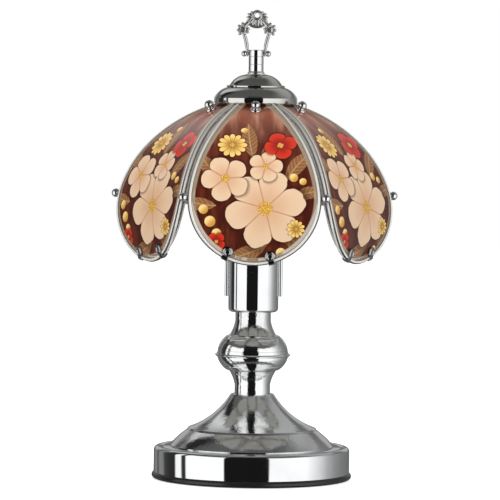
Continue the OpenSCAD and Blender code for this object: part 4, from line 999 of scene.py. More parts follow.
def makeRimAndFelt(sizes):
    drumLow, drumHigh = span("base_drum")
    low, high = span("bottom_cover")
    feltLow, feltHigh = span("felt_pad")
    foot = drumLow.z
    beadR = (foot - low.z) / 2
    bead = arcPoints((high.x - beadR, low.z + beadR), beadR, -math.pi / 2, math.pi / 2,
                     sizes["beadSteps"])
    well = feltHigh.x + sizes["feltFit"]
    lip = drumHigh.x - sizes["wall"] - sizes["rimFit"]
    lipIn, lipTop = lip - sizes["rimWall"], foot + sizes["rimLip"]
    floorTop = feltHigh.z + sizes["floor"]
    outline = [(0, feltHigh.z), (well, feltHigh.z), (well, low.z)] + bead
    outline += [(lip, foot), (lip, lipTop), (lipIn, lipTop), (lipIn, floorTop), (0, floorTop)]
    turned("blackRim", outline, "blackPlastic", "stand", "black_plastic", "bottom_cover")
    outline = [(0, feltLow.z), (feltHigh.x, feltLow.z, sizes["feltEdge"]), (feltHigh.x, feltHigh.z),
               (0, feltHigh.z)]
    turned("feltDisc", filleted(outline), "darkFelt", "stand", "felt", "felt_pad")


def cutBushingHole(drum, sizes):
    low, high = span("cord_bushing")
    radius = (high.z - low.z) / 2 - sizes["lap"]
    start = Matrix.Translation((0, low.y - sizes["start"], (low.z + high.z) / 2))
    place = start @ Matrix.Rotation(-math.pi / 2, 4, "X")
    bm = bmesh.new()
    turn(bm, [(0, 0), (radius, 0), (radius, sizes["length"]), (0, sizes["length"])],
         sizes["steps"], place)
    drill = addObject("bushingDrill", meshFrom("bushingDrill", bm))
    cut = drum.modifiers.new("hole", "BOOLEAN")
    cut.object = drill
    cut.operation = "DIFFERENCE"
    applyModifiers(drum)
    smoothShade(drum.data)
    bpy.data.objects.remove(drill)


cutBushingHole(makeDrum(base), bushingHole)
makeRimAndFelt(base)
print("base ready")


# Bell, neck and socket cup

bellShape = {"band": 1.0, "footEdge": 0.3, "stepRadius": 50.2, "stepHeight": 12.8, "stepEdge": 0.7,
             "bead": 1.6, "beadWidth": 1.0, "beadEdge": 0.5, "skirtCurve": 60, "flareCurve": 62,
             "flareSteps": 28, "topRadius": 17.0, "shoulder": 0.6, "topEdge": 0.2, "wall": 0.8}


def makeBell(sizes):
    low, high = span("bell")
    foot, top, outer = low.z, high.z, high.x
    topRadius, shoulder = sizes["topRadius"], sizes["shoulder"]
    step = (sizes["stepRadius"], foot + sizes["stepHeight"])
    flareFoot = (step[0] - sizes["beadWidth"], step[1] + sizes["bead"])
    skirt = bow((outer, foot + sizes["band"]), step, sizes["skirtCurve"], -1)
    flare = bow(flareFoot, (topRadius, top - shoulder), sizes["flareCurve"], 1, sizes["flareSteps"])
    path = [(outer, foot, sizes["footEdge"])] + skirt[:-1]
    path += [(*step, sizes["stepEdge"]), (*flareFoot, sizes["beadEdge"])] + flare[1:]
    path += [(topRadius - shoulder, top, sizes["topEdge"]), (base["pipeHole"], top)]
    turned("bellShell", sheet(path, sizes["wall"]), "wavyChrome", "stand", "chrome_plate", "bell")


neckShape = {"tube": 13.7, "ledge": 20.4, "ledgeWidth": 2.3, "ledgeRise": 0.7, "ledgeEdge": 0.5,
             "lowerBowl": 10.4, "upperBowl": 13.6, "flareHeight": 11.5, "bowlCurve": 17.5,
             "flareCurve": 30, "band": 1.0, "wall": 0.8, "grooveWidth": 0.5, "grooveDepth": 0.28,
             "lowerGrooves": (2.6, 7.6, 13.4), "upperGrooves": (2.4, 11.0)}
ridgeShape = {"slope": 0.9, "edge": 0.3, "tip": 0.5}


def neckOutline(sizes, bowlRadius, height, bowlHeight, grooves):  # from the ring, as heights above it
    ledge = (sizes["ledge"], bowlHeight)
    flareFoot = (sizes["ledge"] - sizes["ledgeWidth"], bowlHeight + sizes["ledgeRise"])
    bowl = bow((bowlRadius, sizes["band"]), ledge, sizes["bowlCurve"], -1)
    flareTop = (sizes["tube"], bowlHeight + sizes["flareHeight"])
    flare = bow(flareFoot, flareTop, sizes["flareCurve"], 1)
    side = [(bowlRadius, 0)] + bowl[:-1] + [ledge, flareFoot] + flare[1:]
    side += [(sizes["tube"], height), (base["pipeHole"], height)]
    marked = grooved(side, grooves, sizes["grooveWidth"], sizes["grooveDepth"])
    edges = (ledge, flareFoot)
    marked = [(*p, sizes["ledgeEdge"]) if p in edges else p for p in marked]
    return sheet(marked, sizes["wall"], side)


def makeNeck(sizes):
    low, high = span("neck_lower")
    outline = neckOutline(sizes, high.x, high.z - low.z, sizes["lowerBowl"], sizes["lowerGrooves"])
    turned("neckLower", [(r, high.z - rise) for r, rise in outline], "wavyChrome", "stand",
           "chrome_plate", "neck_lower")
    low, high = span("neck_upper")
    outline = neckOutline(sizes, high.x, high.z - low.z, sizes["upperBowl"], sizes["upperGrooves"])
    turned("neckUpper", [(r, low.z + rise) for r, rise in outline], "wavyChrome", "stand",
           "chrome_plate", "neck_upper")


def makeRidge(sizes):
    low, high = span("neck_ring")
    hole, slope = base["pipeHole"], high.x - sizes["slope"]
    outline = [(hole, low.z), (slope, low.z, sizes["edge"]),
               (high.x, low.z + (high.z - low.z) / 2, sizes["tip"]),
               (slope, high.z, sizes["edge"]), (hole, high.z)]
    turned("neckRidge", filleted(outline), "chromePlate", "stand", "chrome_plate", "neck_ring")


cupShape = {"corner": 3.0, "cornerSteps": 8, "wall": 0.8, "lip": 0.35}


def makeCup(sizes):
    low, high = span("socket_cup")
    wall, corner, lip = sizes["wall"], sizes["corner"], sizes["lip"]
    radius, inner, hole = high.x, high.x - wall, base["pipeHole"]
    outline = [(hole, low.z), (radius, low.z, corner), (radius, high.z, lip), (inner, high.z, lip),
               (inner, low.z + wall, corner - wall), (hole, low.z + wall)]
    turned("socketCup", filleted(outline, sizes["cornerSteps"]), "spunChrome", "stand",
           "chrome_plate", "socket_cup")


makeBell(bellShape)
makeNeck(neckShape)
makeRidge(ridgeShape)
makeCup(cupShape)
print("stand ready")


# Harp and bulb

harpShape = {"wire": 1.5, "cupGap": 0.05, "footLength": 0.2, "swing": 32.0, "bend": 24.0,
             "arch": 44.0, "archSteps": 18, "flat": 9.0, "sides": 20}


def swingPath(start, end, radius, steps=10):  # smooth S between two upright stretches
    first = Vector((start[0] + radius, start[1]))
    second = Vector((end[0] - radius, end[1]))
    gap = second - first
    lean = math.atan2(gap.y, gap.x) - math.asin(min(2 * radius / gap.length, 1))
    return (arcPoints(first, radius, math.pi, lean + math.pi / 2, steps)
            + arcPoints(second, radius, lean - math.pi / 2, 0, steps))


def makeHarp(sizes):
    low, high = span("harp")
    cupHigh = span("socket_cup")[1]
    bar, bowX = high.z - sizes["wire"], high.x - sizes["wire"]
    legX = cupHigh.x + sizes["cupGap"] + sizes["wire"]
    shoulder = cupHigh.z
    half = [(legX, low.z), (legX, low.z + sizes["footLength"])]
    half += swingPath((legX, shoulder), (bowX, shoulder + sizes["swing"]), sizes["bend"])
    arch, flat = sizes["arch"], sizes["flat"]
    half += [(flat + (bowX - flat) * x, bar - arch + arch * z)
             for x, z in arcPoints((0, 0), 1, 0, math.pi / 2, sizes["archSteps"])]
    whole = half + [(-x, z) for x, z in reversed(half)]
    bm = bmesh.new()
    tube(bm, [(x, 0, z) for x, z in whole], sizes["wire"], sizes["sides"])
    addPiece("harpWire", bm, "chromePlate", "stand", "chrome_plate", "harp")


globeShape = {"curve": 33.0, "curveSteps": 16, "globeSteps": 28, "neckIn": 0.5, "neckHeight": 2.0,
              "wall": 0.8}
threadShape = {"depth": 0.55, "turns": 4, "pitch": 3.6, "steps": 10, "start": 3.4, "footIn": 3.4,
               "bevelIn": 1.2, "bevelRise": 0.9, "collarFoot": 2.4, "collar": 1.8, "sheet": 0.4}


def makeGlobe(sizes):
    low, high = span("bulb_glass")
    baseHigh = span("bulb_base")[1]
    radius, curve, wall = high.x, sizes["curve"], sizes["wall"]
    middle = high.z - radius
    neckRadius = baseHigh.x - sizes["neckIn"]
    hollow = Vector((neckRadius + curve, baseHigh.z + sizes["neckHeight"]))
    gap = Vector((0, middle)) - hollow
    lean = math.atan2(gap.y, gap.x) - math.asin(min((curve + radius) / gap.length, 1))
    neck = arcPoints(hollow, curve, math.pi, lean + math.pi / 2, sizes["curveSteps"])
    globe = arcPoints((0, middle), radius, lean - math.pi / 2, math.pi / 2, sizes["globeSteps"])
    outer = [(neckRadius, low.z)] + neck + globe
    inner = [(r - wall, z - wall if z > middle else z) for r, z in reversed(outer)]
    turned("bulbGlobe", [(max(r, 0), z) for r, z in outer + inner], "frostedGlass", "bulb",
           "frosted_glass", "bulb_glass")


def makeBulbThread(sizes):  # rolled thread between a tapered foot and a plain collar
    low, high = span("bulb_base")
    radius, depth, steps = high.x, sizes["depth"], sizes["steps"]
    root, start = radius - depth, low.z + sizes["start"]
    outer = [(radius - sizes["footIn"], low.z),
             (radius - sizes["bevelIn"], low.z + sizes["bevelRise"]), (root, start)]
    for i in range(sizes["turns"] * steps + 1):
        wave = 0.5 - 0.5 * math.cos(2 * math.pi * i / steps)
        outer.append((root + depth * wave, start + sizes["pitch"] * i / steps))
    outer += [(root, high.z - sizes["collarFoot"]), (radius, high.z - sizes["collar"]),
              (radius, high.z)]
    inner = [(min(r, root) - sizes["sheet"], z) for r, z in reversed(outer)]
    turned("bulbThread", outer + inner, "rolledAluminium", "bulb", "bulb_aluminium", "bulb_base")


makeHarp(harpShape)
makeGlobe(globeShape)
makeBulbThread(threadShape)
print("harp and bulb ready")


# Shade

panel = {"count": 6, "bend": 96.5, "round": 49.4, "flank": 104.0, "flankAngle": math.radians(8.7),
         "bendRise": 27.289, "glass": 2.5, "gap": 1.2, "top": 28.8, "columns": 44, "lowRows": 26,
         "highRows": 54, "slopeStep": 0.1}
rim = {"width": 2.4, "sheet": 0.5, "fit": 0.05, "crown": 0.15, "top": 31.1, "flankSteps": 48,
       "roundSteps": 72}
# The strip's bright crown lies between its lip on the glass and a groove along its outer edge; the lip,
# groove and outer wall carry painted shade
rimProfile = {"lipRise": 0.5, "softRise": 0.9, "softIn": 0.15, "crownStart": 0.4, "crownFull": 0.9,
              "crownBack": 0.2, "crownFall": 0.08, "crownEnd": 0.75, "grooveIn": 0.5,
              "grooveSide": 0.1, "grooveRise": 0.2, "grooveOut": 0.4, "grooveDrop": 0.1,
              "wallTop": 0.4, "wallEnd": 0.1}
# painted shade along the rim's lip, groove and outer wall, fading towards the cap
rimPaintedShade = {"lip": 0.9, "soft": 0.5, "grooveIn": 0.8, "groove": 1, "wallTop": 0.3, "wall": 0.1,
           "climbFade": 0.55}
panelNumbers = range(1, panel["count"] + 1)
glassLow, glassHigh = span("glass_panel_1")
bendOut = -glassLow.y - panel["bend"]  # distance of the bend's middle from the axis
bendZ = glassLow.z + panel["bendRise"]
roundZ = glassLow.z + panel["round"]
flankX = -(panel["flank"] - panel["round"]) * math.cos(panel["flankAngle"])
flankZ = roundZ - (panel["flank"] - panel["round"]) * math.sin(panel["flankAngle"])
flankFoot = roundZ + panel["round"] * math.sin(panel["flankAngle"])
halfPitch = math.pi / panel["count"]
rimRise = rim["fit"] + rim["sheet"]  # outside of the rim's sheet, over the glass


def faceAngle(z):
    return math.asin(max(-1, min(1, (z - bendZ) / panel["bend"])))


def onFace(x, z, rise=0.0):  # point over the panel's face, in front of the lamp
    angle, far = faceAngle(z), panel["bend"] + rise
    return Vector((x, -(bendOut + far * math.cos(angle)), bendZ + far * math.sin(angle)))


def faceNormal(z):
    angle = faceAngle(z)
    return Vector((0, -math.cos(angle), math.sin(angle)))


def halfWidth(z):  # on the flanks or the round end, kept out of the gap to the next panel
    if z > flankFoot:
        own = flankX + math.sqrt(max(panel["flank"] ** 2 - (z - flankZ) ** 2, 0))
    else:
        own = math.sqrt(max(panel["round"] ** 2 - (z - roundZ) ** 2, 0))
    out = bendOut + panel["bend"] * math.cos(faceAngle(z))
    return min(own, (out * math.sin(halfPitch) - panel["gap"]) / math.cos(halfPitch))


def topHeight(share, radius):  # height at which a panel's column reaches that distance from the axis
    tries = 12
    z = glassHigh.z
    for _ in range(tries):
        x = share * halfWidth(z)
        far = math.sqrt(max(radius ** 2 - x ** 2, 1))
        z = bendZ + math.sqrt(panel["bend"] ** 2 - (far - bendOut) ** 2)
    return z


def panelTurn(k):
    return Matrix.Rotation(2 * halfPitch * (k - 1), 4, "Z")


def panelRows(share):  # heights from the panel's lowest point up to its top under the cap
    lowRows, highRows = panel["lowRows"], panel["highRows"]
    low = [roundZ - panel["round"] * math.cos(math.pi / 2 * i / lowRows) for i in range(lowRows)]
    first, last = faceAngle(roundZ), faceAngle(topHeight(share, panel["top"]))
    high = [bendZ + panel["bend"] * math.sin(first + (last - first) * i / highRows)
            for i in range(highRows + 1)]
    return low + high


def alongFace(z):  # way up the bent face from the round end's middle
    return panel["bend"] * (faceAngle(z) - faceAngle(roundZ))


def edgeGap(x, z):  # distance of a point on the glass from the nearest edge
    step = panel["slopeStep"]
    slope = (halfWidth(z + step) - halfWidth(z - step)) / (2 * step)
    sideGap = (halfWidth(z) - abs(x)) / math.hypot(1, slope)
    along = alongFace(z)
    return min(sideGap, panel["round"] - math.hypot(x, along)) if along < 0 else sideGap


def makeGlass(k):
    bm = bmesh.new()
    flat = bm.loops.layers.uv.new("panelFlat")
    edge = bm.verts.layers.float.new("edgeDistance")
    within = bm.verts.layers.float.new("innerFace")
    columns = panel["columns"]
    spots = {}
    faces = []
    for depth in (0.0, -panel["glass"]):
        grid = []
        for c in range(columns + 1):
            share = -1 + 2 * c / columns
            column = []
            for z in panelRows(share):
                x = share * halfWidth(z)
                vert = bm.verts.new(onFace(x, z, depth))
                spots[vert] = (x, alongFace(z))
                vert[within] = 1.0 if depth else 0.0
                vert[edge] = edgeGap(x, z)
                column.append(vert)
            grid.append(column)
        faces.append(grid)
    outer, inner = faces
    rows = len(outer[0])
    for grid in faces:
        for c in range(columns):
            for r in range(rows - 1):
                bm.faces.new((grid[c][r], grid[c + 1][r], grid[c + 1][r + 1], grid[c][r + 1]))
    for r in range(rows - 1):
        for c in (0, columns):
            bm.faces.new((outer[c][r], outer[c][r + 1], inner[c][r + 1], inner[c][r]))
    for c in range(columns):
        bm.faces.new((outer[c][-1], outer[c + 1][-1], inner[c + 1][-1], inner[c][-1]))
    for face in bm.faces:
        for loop in face.loops:
            loop[flat].uv = spots[loop.vert]
    bmesh.ops.remove_doubles(bm, verts=bm.verts, dist=weld)
    bmesh.ops.transform(bm, matrix=panelTurn(k), verts=bm.verts)
    addPiece(f"printedPanel{k}", bm, "printedGlass", "shade", "printed_glass", f"glass_panel_{k}")


def rimPath():  # along the panel's edge from the cap, round the lower end and back up
    top = topHeight(1, rim["top"])
    steps, bend = rim["flankSteps"], panel["flankAngle"]
    heights = [top + (flankFoot - top) * i / steps for i in range(steps)]
    side = [(halfWidth(z), z) for z in heights]
    end = arcPoints((0, roundZ), panel["round"], bend, -math.pi - bend, rim["roundSteps"])
    return side + end + [(-x, z) for x, z in reversed(side)]


def rimSection(shape, dark):  # U round the glass edge: across, counted outwards, above the face, and painted edge shade
    fit, glass = rim["fit"], panel["glass"]
    inner, crown = -rim["width"], rimRise + rim["crown"]
    top = [
        (inner, fit, dark["lip"]),
        (inner, fit + rim["sheet"] * shape["lipRise"], dark["lip"]),
        (inner + shape["softIn"], fit + rim["sheet"] * shape["softRise"], dark["soft"]),
        (inner + shape["crownStart"], crown - shape["crownFall"], 0),
        (inner + shape["crownFull"], crown, 0),
        (inner / 2 + shape["crownBack"], crown, 0),
        (-shape["crownEnd"], crown - shape["crownFall"], 0),
        (-shape["grooveIn"], rimRise, dark["grooveIn"]),
        (shape["grooveSide"], fit + shape["grooveRise"], dark["groove"]),
        (shape["grooveOut"], -shape["grooveDrop"], dark["groove"]),
        (rimRise, -shape["wallTop"], dark["wallTop"]),
        (rimRise, -glass / 2 + shape["wallEnd"], dark["wall"]),
    ]
    under = [(across, -glass - above, seam) for across, above, seam in reversed(top)]
    return top + under + [(fit, -glass - fit, 0), (fit, fit, 0)]


def makeRim(k):
    path = rimPath()
    points = [onFace(x, z) for x, z in path]
    section = rimSection(rimProfile, rimPaintedShade)
    rings = []
    for i, (x, z) in enumerate(path):
        normal = faceNormal(z)
        outward = wayAt(points, i).cross(normal).normalized()
        if outward.dot(Vector((x, 0, z - roundZ))) < 0:
            outward = -outward
        rings.append([points[i] + outward * across + normal * above
                      for across, above, seam in section])
    bm = bmesh.new()
    paintedEdgeShadeLayer = bm.verts.layers.float.new("seam")
    climbLayer = bm.verts.layers.float.new("climb")
    sweep(bm, rings)
    bm.verts.ensure_lookup_table()
    # painted edge shade, fading towards the cap
    for i, (x, z) in enumerate(path):
        climb = max(0, min(1, (z - roundZ) / (glassHigh.z - roundZ)))
        for j, (across, above, seam) in enumerate(section):
            vert = bm.verts[i * len(section) + j]
            vert[paintedEdgeShadeLayer] = seam * (1 - rimPaintedShade["climbFade"] * climb)
            vert[climbLayer] = climb
    bmesh.ops.transform(bm, matrix=panelTurn(k), verts=bm.verts)
    addPiece(f"brightRim{k}", bm, "brightRim", "shade", "chrome_plate", f"panel_rim_{k}")


for k in panelNumbers:
    makeGlass(k)
    makeRim(k)
print("panels and rims ready")


# Knobs and clips of the shade

topKnob = {"distance": 39.2, "collar": 4.2, "collarHeight": 2.0, "footEdge": 0.25, "bevel": 0.9,
           "bevelSteps": 8, "waist": 2.6, "ball": 3.4, "ballHeight": 4.5, "ballSteps": 18,
           "gap": 0.1, "screwHole": 1.65, "screwEnd": 3.1}
sideKnob = {"rise": 0.6, "ball": 3.3, "ballSteps": 24, "fit": 0.1, "screwHole": 1.15, "roof": 1.3}


def topKnobOutline(sizes):
    waist, ball, top = sizes["waist"], sizes["ball"], sizes["ballHeight"]
    collar, height = sizes["collar"], sizes["collarHeight"]
    hole, end = sizes["screwHole"], sizes["screwEnd"]
    first = math.atan2(-math.sqrt(ball ** 2 - waist ** 2), waist)
    outline = [(hole, 0), (collar, 0, sizes["footEdge"])]
    outline += bow((collar, height - sizes["bevel"]), (waist, height), collar - waist, -1,
                   sizes["bevelSteps"])
    outline += arcPoints((0, top), ball, first, math.pi / 2, sizes["ballSteps"])[:-1]
    return filleted(outline + [(0, top + ball), (0, end), (hole, end)])


def makeTopKnobs(sizes):
    bm = bmesh.new()
    far = sizes["distance"]
    lean = math.asin((far - bendOut) / panel["bend"])
    z = bendZ + math.sqrt(panel["bend"] ** 2 - (far - bendOut) ** 2)
    face = Matrix.Translation((0, -far, z)) @ Matrix.Rotation(lean, 4, "X")
    seat = face @ Matrix.Translation((0, 0, sizes["gap"]))
    outline = topKnobOutline(sizes)
    for k in panelNumbers:
        turn(bm, outline, knobSteps, panelTurn(k) @ seat)
    addPiece("topKnobs", bm, "chromePlate", "shade", "chrome_plate", "top_knobs")


def makeSideKnobs(sizes):  # balls that lie on the corners of two rims
    bm = bmesh.new()
    z = roundZ + sizes["rise"]
    face = bendOut + math.sqrt((panel["bend"] + rimRise) ** 2 - (z - bendZ) ** 2)
    half = halfWidth(z) + rimRise
    far = face * math.cos(halfPitch) + half * math.sin(halfPitch)
    off = face * math.sin(halfPitch) - half * math.cos(halfPitch)
    ball, hole = sizes["ball"], sizes["screwHole"]
    middle = math.sqrt(max((ball + sizes["fit"]) ** 2 - off ** 2, 0))
    end = middle + ball - sizes["roof"]
    first = -math.acos(hole / ball)
    outline = arcPoints((0, middle), ball, first, math.pi / 2, sizes["ballSteps"])[:-1]
    outline += [(0, middle + ball), (0, end), (hole, end)]
    tilt = math.asin((z - bendZ) / panel["bend"])
    seat = Matrix.Translation((0, -far, z)) @ Matrix.Rotation(math.pi / 2 - tilt, 4, "X")
    gap = Matrix.Rotation(halfPitch, 4, "Z")
    for k in panelNumbers:
        turn(bm, outline, knobSteps, panelTurn(k) @ gap @ seat)
    addPiece("sideKnobs", bm, "chromePlate", "shade", "chrome_plate", "side_knobs")


# Spring clips with a stamped ring, pushed on by hand, so each pair sits a little round its panel's end
clip = {"offset": 18.0, "half": 4.1, "tip": 0.02, "bendHalf": 2.4, "length": 10.0,
        "innerLength": 8.0, "sheet": 0.8, "gap": 0.1, "bend": 1.1, "bendSteps": 6, "neck": 3.0,
        "edgeThin": 0.35, "edgePower": 6, "ring": 2.5, "ringHalf": 1.1, "ringRise": 0.6,
        "columns": 24, "rows": 26, "turns": (-5.4, 0, 0, 0, 0, 5.5)}


def clipPath(sizes):  # up the inside, round the rim and up the outside: across the edge, above the face
    foot = rimRise + sizes["gap"] + sizes["sheet"] / 2
    inside = -panel["glass"] - foot
    bend, rows, steps = sizes["bend"], sizes["rows"], sizes["bendSteps"]
    innerTop, outerTop = rimRise - sizes["innerLength"], rimRise - sizes["length"]
    start = foot - bend
    path = [(innerTop + (start - innerTop) * i / rows, inside) for i in range(rows)]
    path += arcPoints((start, inside + bend), bend, -math.pi / 2, 0, steps)
    path += arcPoints((start, start), bend, 0, math.pi / 2, steps)
    path += [(start + (outerTop - start) * (i + 1) / rows, foot) for i in range(rows)]
    return path, innerTop, outerTop


def clipHalf(sizes, up):  # half width of the tab at a distance from its round end
    roundEnd = sizes["half"]
    if up < roundEnd:
        return math.sqrt(max(roundEnd ** 2 - (roundEnd - up) ** 2, sizes["tip"]))
    blend = min((up - roundEnd) / sizes["neck"], 1)
    blend = blend * blend * (3 - 2 * blend)
    return roundEnd + (sizes["bendHalf"] - roundEnd) * blend


def ringLift(sizes, across, up):  # rise of the stamped ring
    off = abs(math.hypot(across, up - sizes["half"]) - sizes["ring"]) / sizes["ringHalf"]
    return sizes["ringRise"] * (0.5 + 0.5 * math.cos(math.pi * off)) if off < 1 else 0


def clipRings(sizes, tilt):
    path, innerTop, outerTop = clipPath(sizes)
    points = [Vector(p) for p in path]
    columns = sizes["columns"]
    there = range(columns + 1)
    rings = []
    for i, (across, above) in enumerate(path):
        way = wayAt(points, i)
        out = Vector((way.y, -way.x))
        outside = i > len(path) / 2
        up = across - (outerTop if outside else innerTop)
        half = clipHalf(sizes, up)
        ring = []
        for face, order in ((1, there), (-1, reversed(there))):
            for c in order:
                share = -1 + 2 * c / columns
                side = share * half
                soft = 1 - sizes["edgeThin"] * abs(share) ** sizes["edgePower"]
                shift = out * face * sizes["sheet"] / 2 * soft
                lift = ringLift(sizes, side, up) if outside else 0
                radial = panel["round"] + across + shift.x
                x = radial * math.sin(tilt) + side * math.cos(tilt)
                z = roundZ - radial * math.cos(tilt) + side * math.sin(tilt)
                ring.append(onFace(x, z, above + shift.y + lift))
        rings.append(ring)
    return rings


def makeClips(sizes):
    bm = bmesh.new()
    apart = math.asin(sizes["offset"] / (panel["round"] + rimRise))
    for k in panelNumbers:
        for side in (-1, 1):
            start = len(bm.verts)
            sweep(bm, clipRings(sizes, side * apart + math.radians(sizes["turns"][k - 1])))
            bm.verts.ensure_lookup_table()
            bmesh.ops.transform(bm, matrix=panelTurn(k), verts=bm.verts[start:])
    addPiece("edgeClips", bm, "darkChrome", "shade", "dark_chrome", "bottom_clips")


makeTopKnobs(topKnob)
makeSideKnobs(sideKnob)
makeClips(clip)
print("knobs and clips ready")


# Cap, crown and finial

capShape = {"tuck": 1.2, "tuckHeight": 2.8, "tuckCurve": 3.87, "tuckSteps": 8, "lip": 5.3,
            "lipEdge": 0.8, "top": 23.4, "curve": 15.0, "wall": 0.8}
crownShape = {"flange": 1.6, "footEdge": 0.3, "flangeEdge": 0.5, "dome": 20.2, "domeEdge": 0.2,
              "domeFoot": 0.3, "rise": 0.3, "top": 8.6, "curve": 16.0, "wall": 0.8}
domeTop = {"drop": 0.3, "flat": 0.6, "edge": 0.2, "hole": 3.3, "steps": 20}


def domePath(sizes, start, top):  # dome from its foot to the flat round the stud's hole
    end = (sizes["top"], top - domeTop["drop"])
    dome = bow(start, end, sizes["curve"], -1, domeTop["steps"])
    return dome + [(sizes["top"] - domeTop["flat"], top, domeTop["edge"]), (domeTop["hole"], top)]


def makeCap(sizes):
    low, high = span("shade_cap")
    tuckFoot, tuckTop = (high.x - sizes["tuck"], low.z), (high.x, low.z + sizes["tuckHeight"])
    tuck = bow(tuckFoot, tuckTop, sizes["tuckCurve"], -1, sizes["tuckSteps"])
    dome = domePath(sizes, (high.x, low.z + sizes["lip"]), high.z)
    path = tuck + [(*dome[0], sizes["lipEdge"])] + dome[1:]
    turned("capShell", sheet(path, sizes["wall"]), "shadedCapChrome", "shade", "chrome_plate",
           "shade_cap")


def makeCrown(sizes):
    low, high = span("crown_dome")
    flange = low.z + sizes["flange"]
    path = [(high.x, low.z, sizes["footEdge"]), (high.x, flange, sizes["flangeEdge"]),
            (sizes["dome"] + sizes["domeFoot"], flange, sizes["domeEdge"])]
    path += domePath(sizes, (sizes["dome"], flange + sizes["rise"]), high.z)
    turned("crownShell", sheet(path, sizes["wall"]), "shadedCapChrome", "shade", "chrome_plate",
           "crown_dome")


tubeShape = {"radius": 5.75, "footHeight": 1.8, "footEdge": 0.3, "slopeEdge": 0.4, "sideEdge": 0.5,
             "topEdge": 0.5, "bore": 3.05, "boreTop": 5.2, "rings": (7.2, 13.3), "ringWidth": 0.5,
             "ringDepth": 0.2}
pinShape = {"radius": 1.2, "ballFoot": 1.5, "ballSteps": 18}


def makeCrownTube(sizes):
    low, high = span("crown_tube")
    foot, side, bore, rise = high.x, sizes["radius"], sizes["bore"], sizes["footHeight"]
    outline = filleted([(bore, low.z), (foot, low.z, sizes["footEdge"]),
                        (foot, low.z + rise / 2, sizes["slopeEdge"]),
                        (side, low.z + rise, sizes["sideEdge"]), (side, high.z, sizes["topEdge"]),
                        (0, high.z)])
    heights = [low.z + ring for ring in sizes["rings"]]
    outline = grooved(outline, heights, sizes["ringWidth"], sizes["ringDepth"])
    end = high.z - sizes["boreTop"]
    turned("crownTube", outline + [(0, end), (bore, end)], "chromePlate", "finial", "chrome_plate",
           "crown_tube")


def makeBailPin(sizes):  # cross pin with a ball at each end
    low, high = span("bail_pin")
    ball, foot = (high.z - low.z) / 2, sizes["ballFoot"]
    centre = high.x - ball
    flat = math.sqrt(ball ** 2 - foot ** 2)
    half = [(sizes["radius"], centre - flat), (foot, centre - flat)]
    half += arcPoints((0, centre), ball, math.atan2(-flat, foot), math.pi / 2,
                      sizes["ballSteps"])[1:-1]
    half.append((0, centre + ball))
    outline = [(r, -x) for r, x in reversed(half)] + half
    lying = Matrix.Rotation(math.pi / 2, 4, "Y")
    bm = bmesh.new()
    turn(bm, outline, knobSteps, Matrix.Translation((0, 0, (low.z + high.z) / 2)) @ lying)
    addPiece("bailPin", bm, "chromePlate", "finial", "chrome_plate", "bail_pin")


makeCap(capShape)
makeCrown(crownShape)
makeCrownTube(tubeShape)
makeBailPin(pinShape)
print("cap and crown ready")


# Bail, built from rounded bars, lobes and a fluted shell, then melted into one casting

bail = {
    "eye": 2.3, "eyeHole": 1.26, "eyeIn": 6.05, "eyeOut": 7.05, "eyeEdge": 0.3, "eyeSteps": 32,
    "edgeSteps": 3,
    "armFoot": (6.8, 1.8), "armTop": (9.4, 14.4), "armCurve": 46, "armSteps": 18, "armRadius": 1.5,
    "armThin": 0.75, "armSwell": 3,
    "knot": (10.1, 18.4), "core": (3.3, 1.3, 3.4), "leafRadii": (1.9, 1.2, 1.35),
    # angle from level and reach of the leaves about each knot
    "leaves": ((84, 5.7), (38, 5.5), (-6, 5.3), (-50, 5.5), (-100, 5.0), (-150, 5.0), (172, 5.1),
               (130, 5.3)),
    "link": ((6.0, 24.4), (9.6, 20.8)), "linkRadius": 1.5,
    "shell": (0.4, 29.4), "ring": 3.0, "ringBar": 1.25, "ringSteps": 40,
    # angle from level and reach of the shell's flutes on each side of its eye
    "flutes": ((28, 5.8), (7, 7.7), (-12, 8.7), (-29, 9.4), (-46, 9.6), (-66, 9.4), (-86, 9.4)),
    "fluteIn": 0.4, "fluteRadii": (1.25, 1.05), "body": (7.4, 0.95, 3.9), "bodyDrop": 6.2,
    "voxel": 0.22, "softness": 0.5, "softRounds": 2,
}
lobeFacets = (20, 12)


def lobe(bm, place, radii, rotation=0.0):
    columns, rows = lobeFacets
    seat = Matrix.Translation(place) @ Matrix.Rotation(rotation, 4, "Y")
    bmesh.ops.create_uvsphere(bm, u_segments=columns, v_segments=rows, radius=1,
                              matrix=seat @ Matrix.Diagonal((*radii, 1)))


def ray(bm, middle, degrees, side, near, far, thick, width):  # long lobe that points away from a middle
    angle = math.radians(degrees if side > 0 else 180 - degrees)
    reach, half = (near + far) / 2, (far - near) / 2
    place = (middle[0] + reach * math.cos(angle), 0, middle[1] + reach * math.sin(angle))
    lobe(bm, place, (half, thick, width), -angle)


def makeBailArm(bm, sizes, side):
    half = (sizes["eyeOut"] - sizes["eyeIn"]) / 2
    hole, eye, edge = sizes["eyeHole"], sizes["eye"], sizes["eyeEdge"]
    middle = side * (sizes["eyeIn"] + sizes["eyeOut"]) / 2
    ear = Matrix.Translation((middle, 0, 0)) @ Matrix.Rotation(math.pi / 2, 4, "Y")
    outline = [(hole, -half), (eye, -half, edge), (eye, half, edge), (hole, half)]
    turn(bm, filleted(outline, sizes["edgeSteps"]), sizes["eyeSteps"], ear)
    full, thin, swell = sizes["armRadius"], sizes["armThin"], sizes["armSwell"]
    arm = bow(sizes["armFoot"], sizes["armTop"], sizes["armCurve"], 1, sizes["armSteps"])
    tube(bm, [(side * x, 0, z) for x, z in arm],
         lambda way: full * (thin + (1 - thin) * min(1, way * swell)))
    knotX, knotZ = side * sizes["knot"][0], sizes["knot"][1]
    lobe(bm, (knotX, 0, knotZ), sizes["core"])
    length, thick, width = sizes["leafRadii"]
    for degrees, reach in sizes["leaves"]:
        ray(bm, (knotX, knotZ), degrees, side, reach - 2 * length, reach, thick, width)
    tube(bm, [(side * x, 0, z) for x, z in sizes["link"]], sizes["linkRadius"])


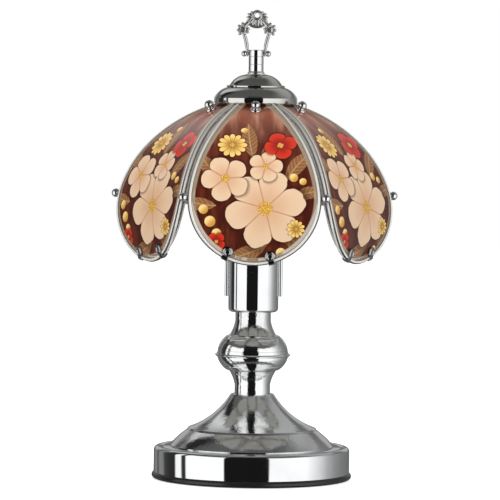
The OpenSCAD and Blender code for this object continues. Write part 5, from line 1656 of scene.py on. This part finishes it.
def makeShell(bm, sizes):
    x0, z0 = sizes["shell"]
    ring = sizes["ring"]
    circle = arcPoints((x0, z0), ring, 0, 2 * math.pi, sizes["ringSteps"])
    tube(bm, [(x, 0, z) for x, z in circle], sizes["ringBar"])
    for side in (-1, 1):
        for degrees, reach in sizes["flutes"]:
            ray(bm, (x0, z0), degrees, side, ring - sizes["fluteIn"], reach, *sizes["fluteRadii"])
    lobe(bm, (x0, 0, z0 - sizes["bodyDrop"]), sizes["body"])


def makeBail(sizes):
    pinLow, pinHigh = span("bail_pin")
    bm = bmesh.new()
    for side in (-1, 1):
        makeBailArm(bm, sizes, side)
    makeShell(bm, sizes)
    bmesh.ops.translate(bm, verts=bm.verts, vec=(0, 0, (pinLow.z + pinHigh.z) / 2))
    piece = addPiece("castBail", bm, "castChrome", "bail", "cast_chrome", "finial_bail")
    melt = piece.modifiers.new("melt", "REMESH")
    melt.mode = "VOXEL"
    melt.voxel_size = sizes["voxel"] * mm
    melt.use_smooth_shade = True
    soft = piece.modifiers.new("soft", "SMOOTH")
    soft.factor = sizes["softness"]
    soft.iterations = sizes["softRounds"]
    applyModifiers(piece)
    piece.data.shade_smooth()


makeBail(bail)
print("bail ready")


# Finishes of the pieces that keep their own shape

keptFinishes = {
    "zincSteel": ("cover_screws", "pipe_washer", "lower_nut", "lamp_pipe", "upper_nut",
                  "socket_holder", "socket_screws", "shade_stud", "top_screws", "side_screws",
                  "cap_spacer"),
    "blackPlastic": ("touch_module",),
    "blackRubber": ("cord_bushing",),
    "castIron": ("base_weight",),
    "porcelain": ("socket_body",),
    "pressedBrass": ("screw_shell", "middle_contact"),
    "leadCover": ("lamp_leads", "touch_lead"),
    "chromePlate": ("shade_hub",),
    "ribSteel": tuple(f"shade_rib_{k}" for k in panelNumbers),
    "stemGlass": ("bulb_stem",),
    "insulatorGlass": ("bulb_insulator",),
    "drawnTungsten": ("bulb_filament",),
}
for finish, names in keptFinishes.items():
    for name in names:
        data = nodes[name].data
        data.materials.clear()
        data.materials.append(finishes[finish])
print("kept pieces finished")
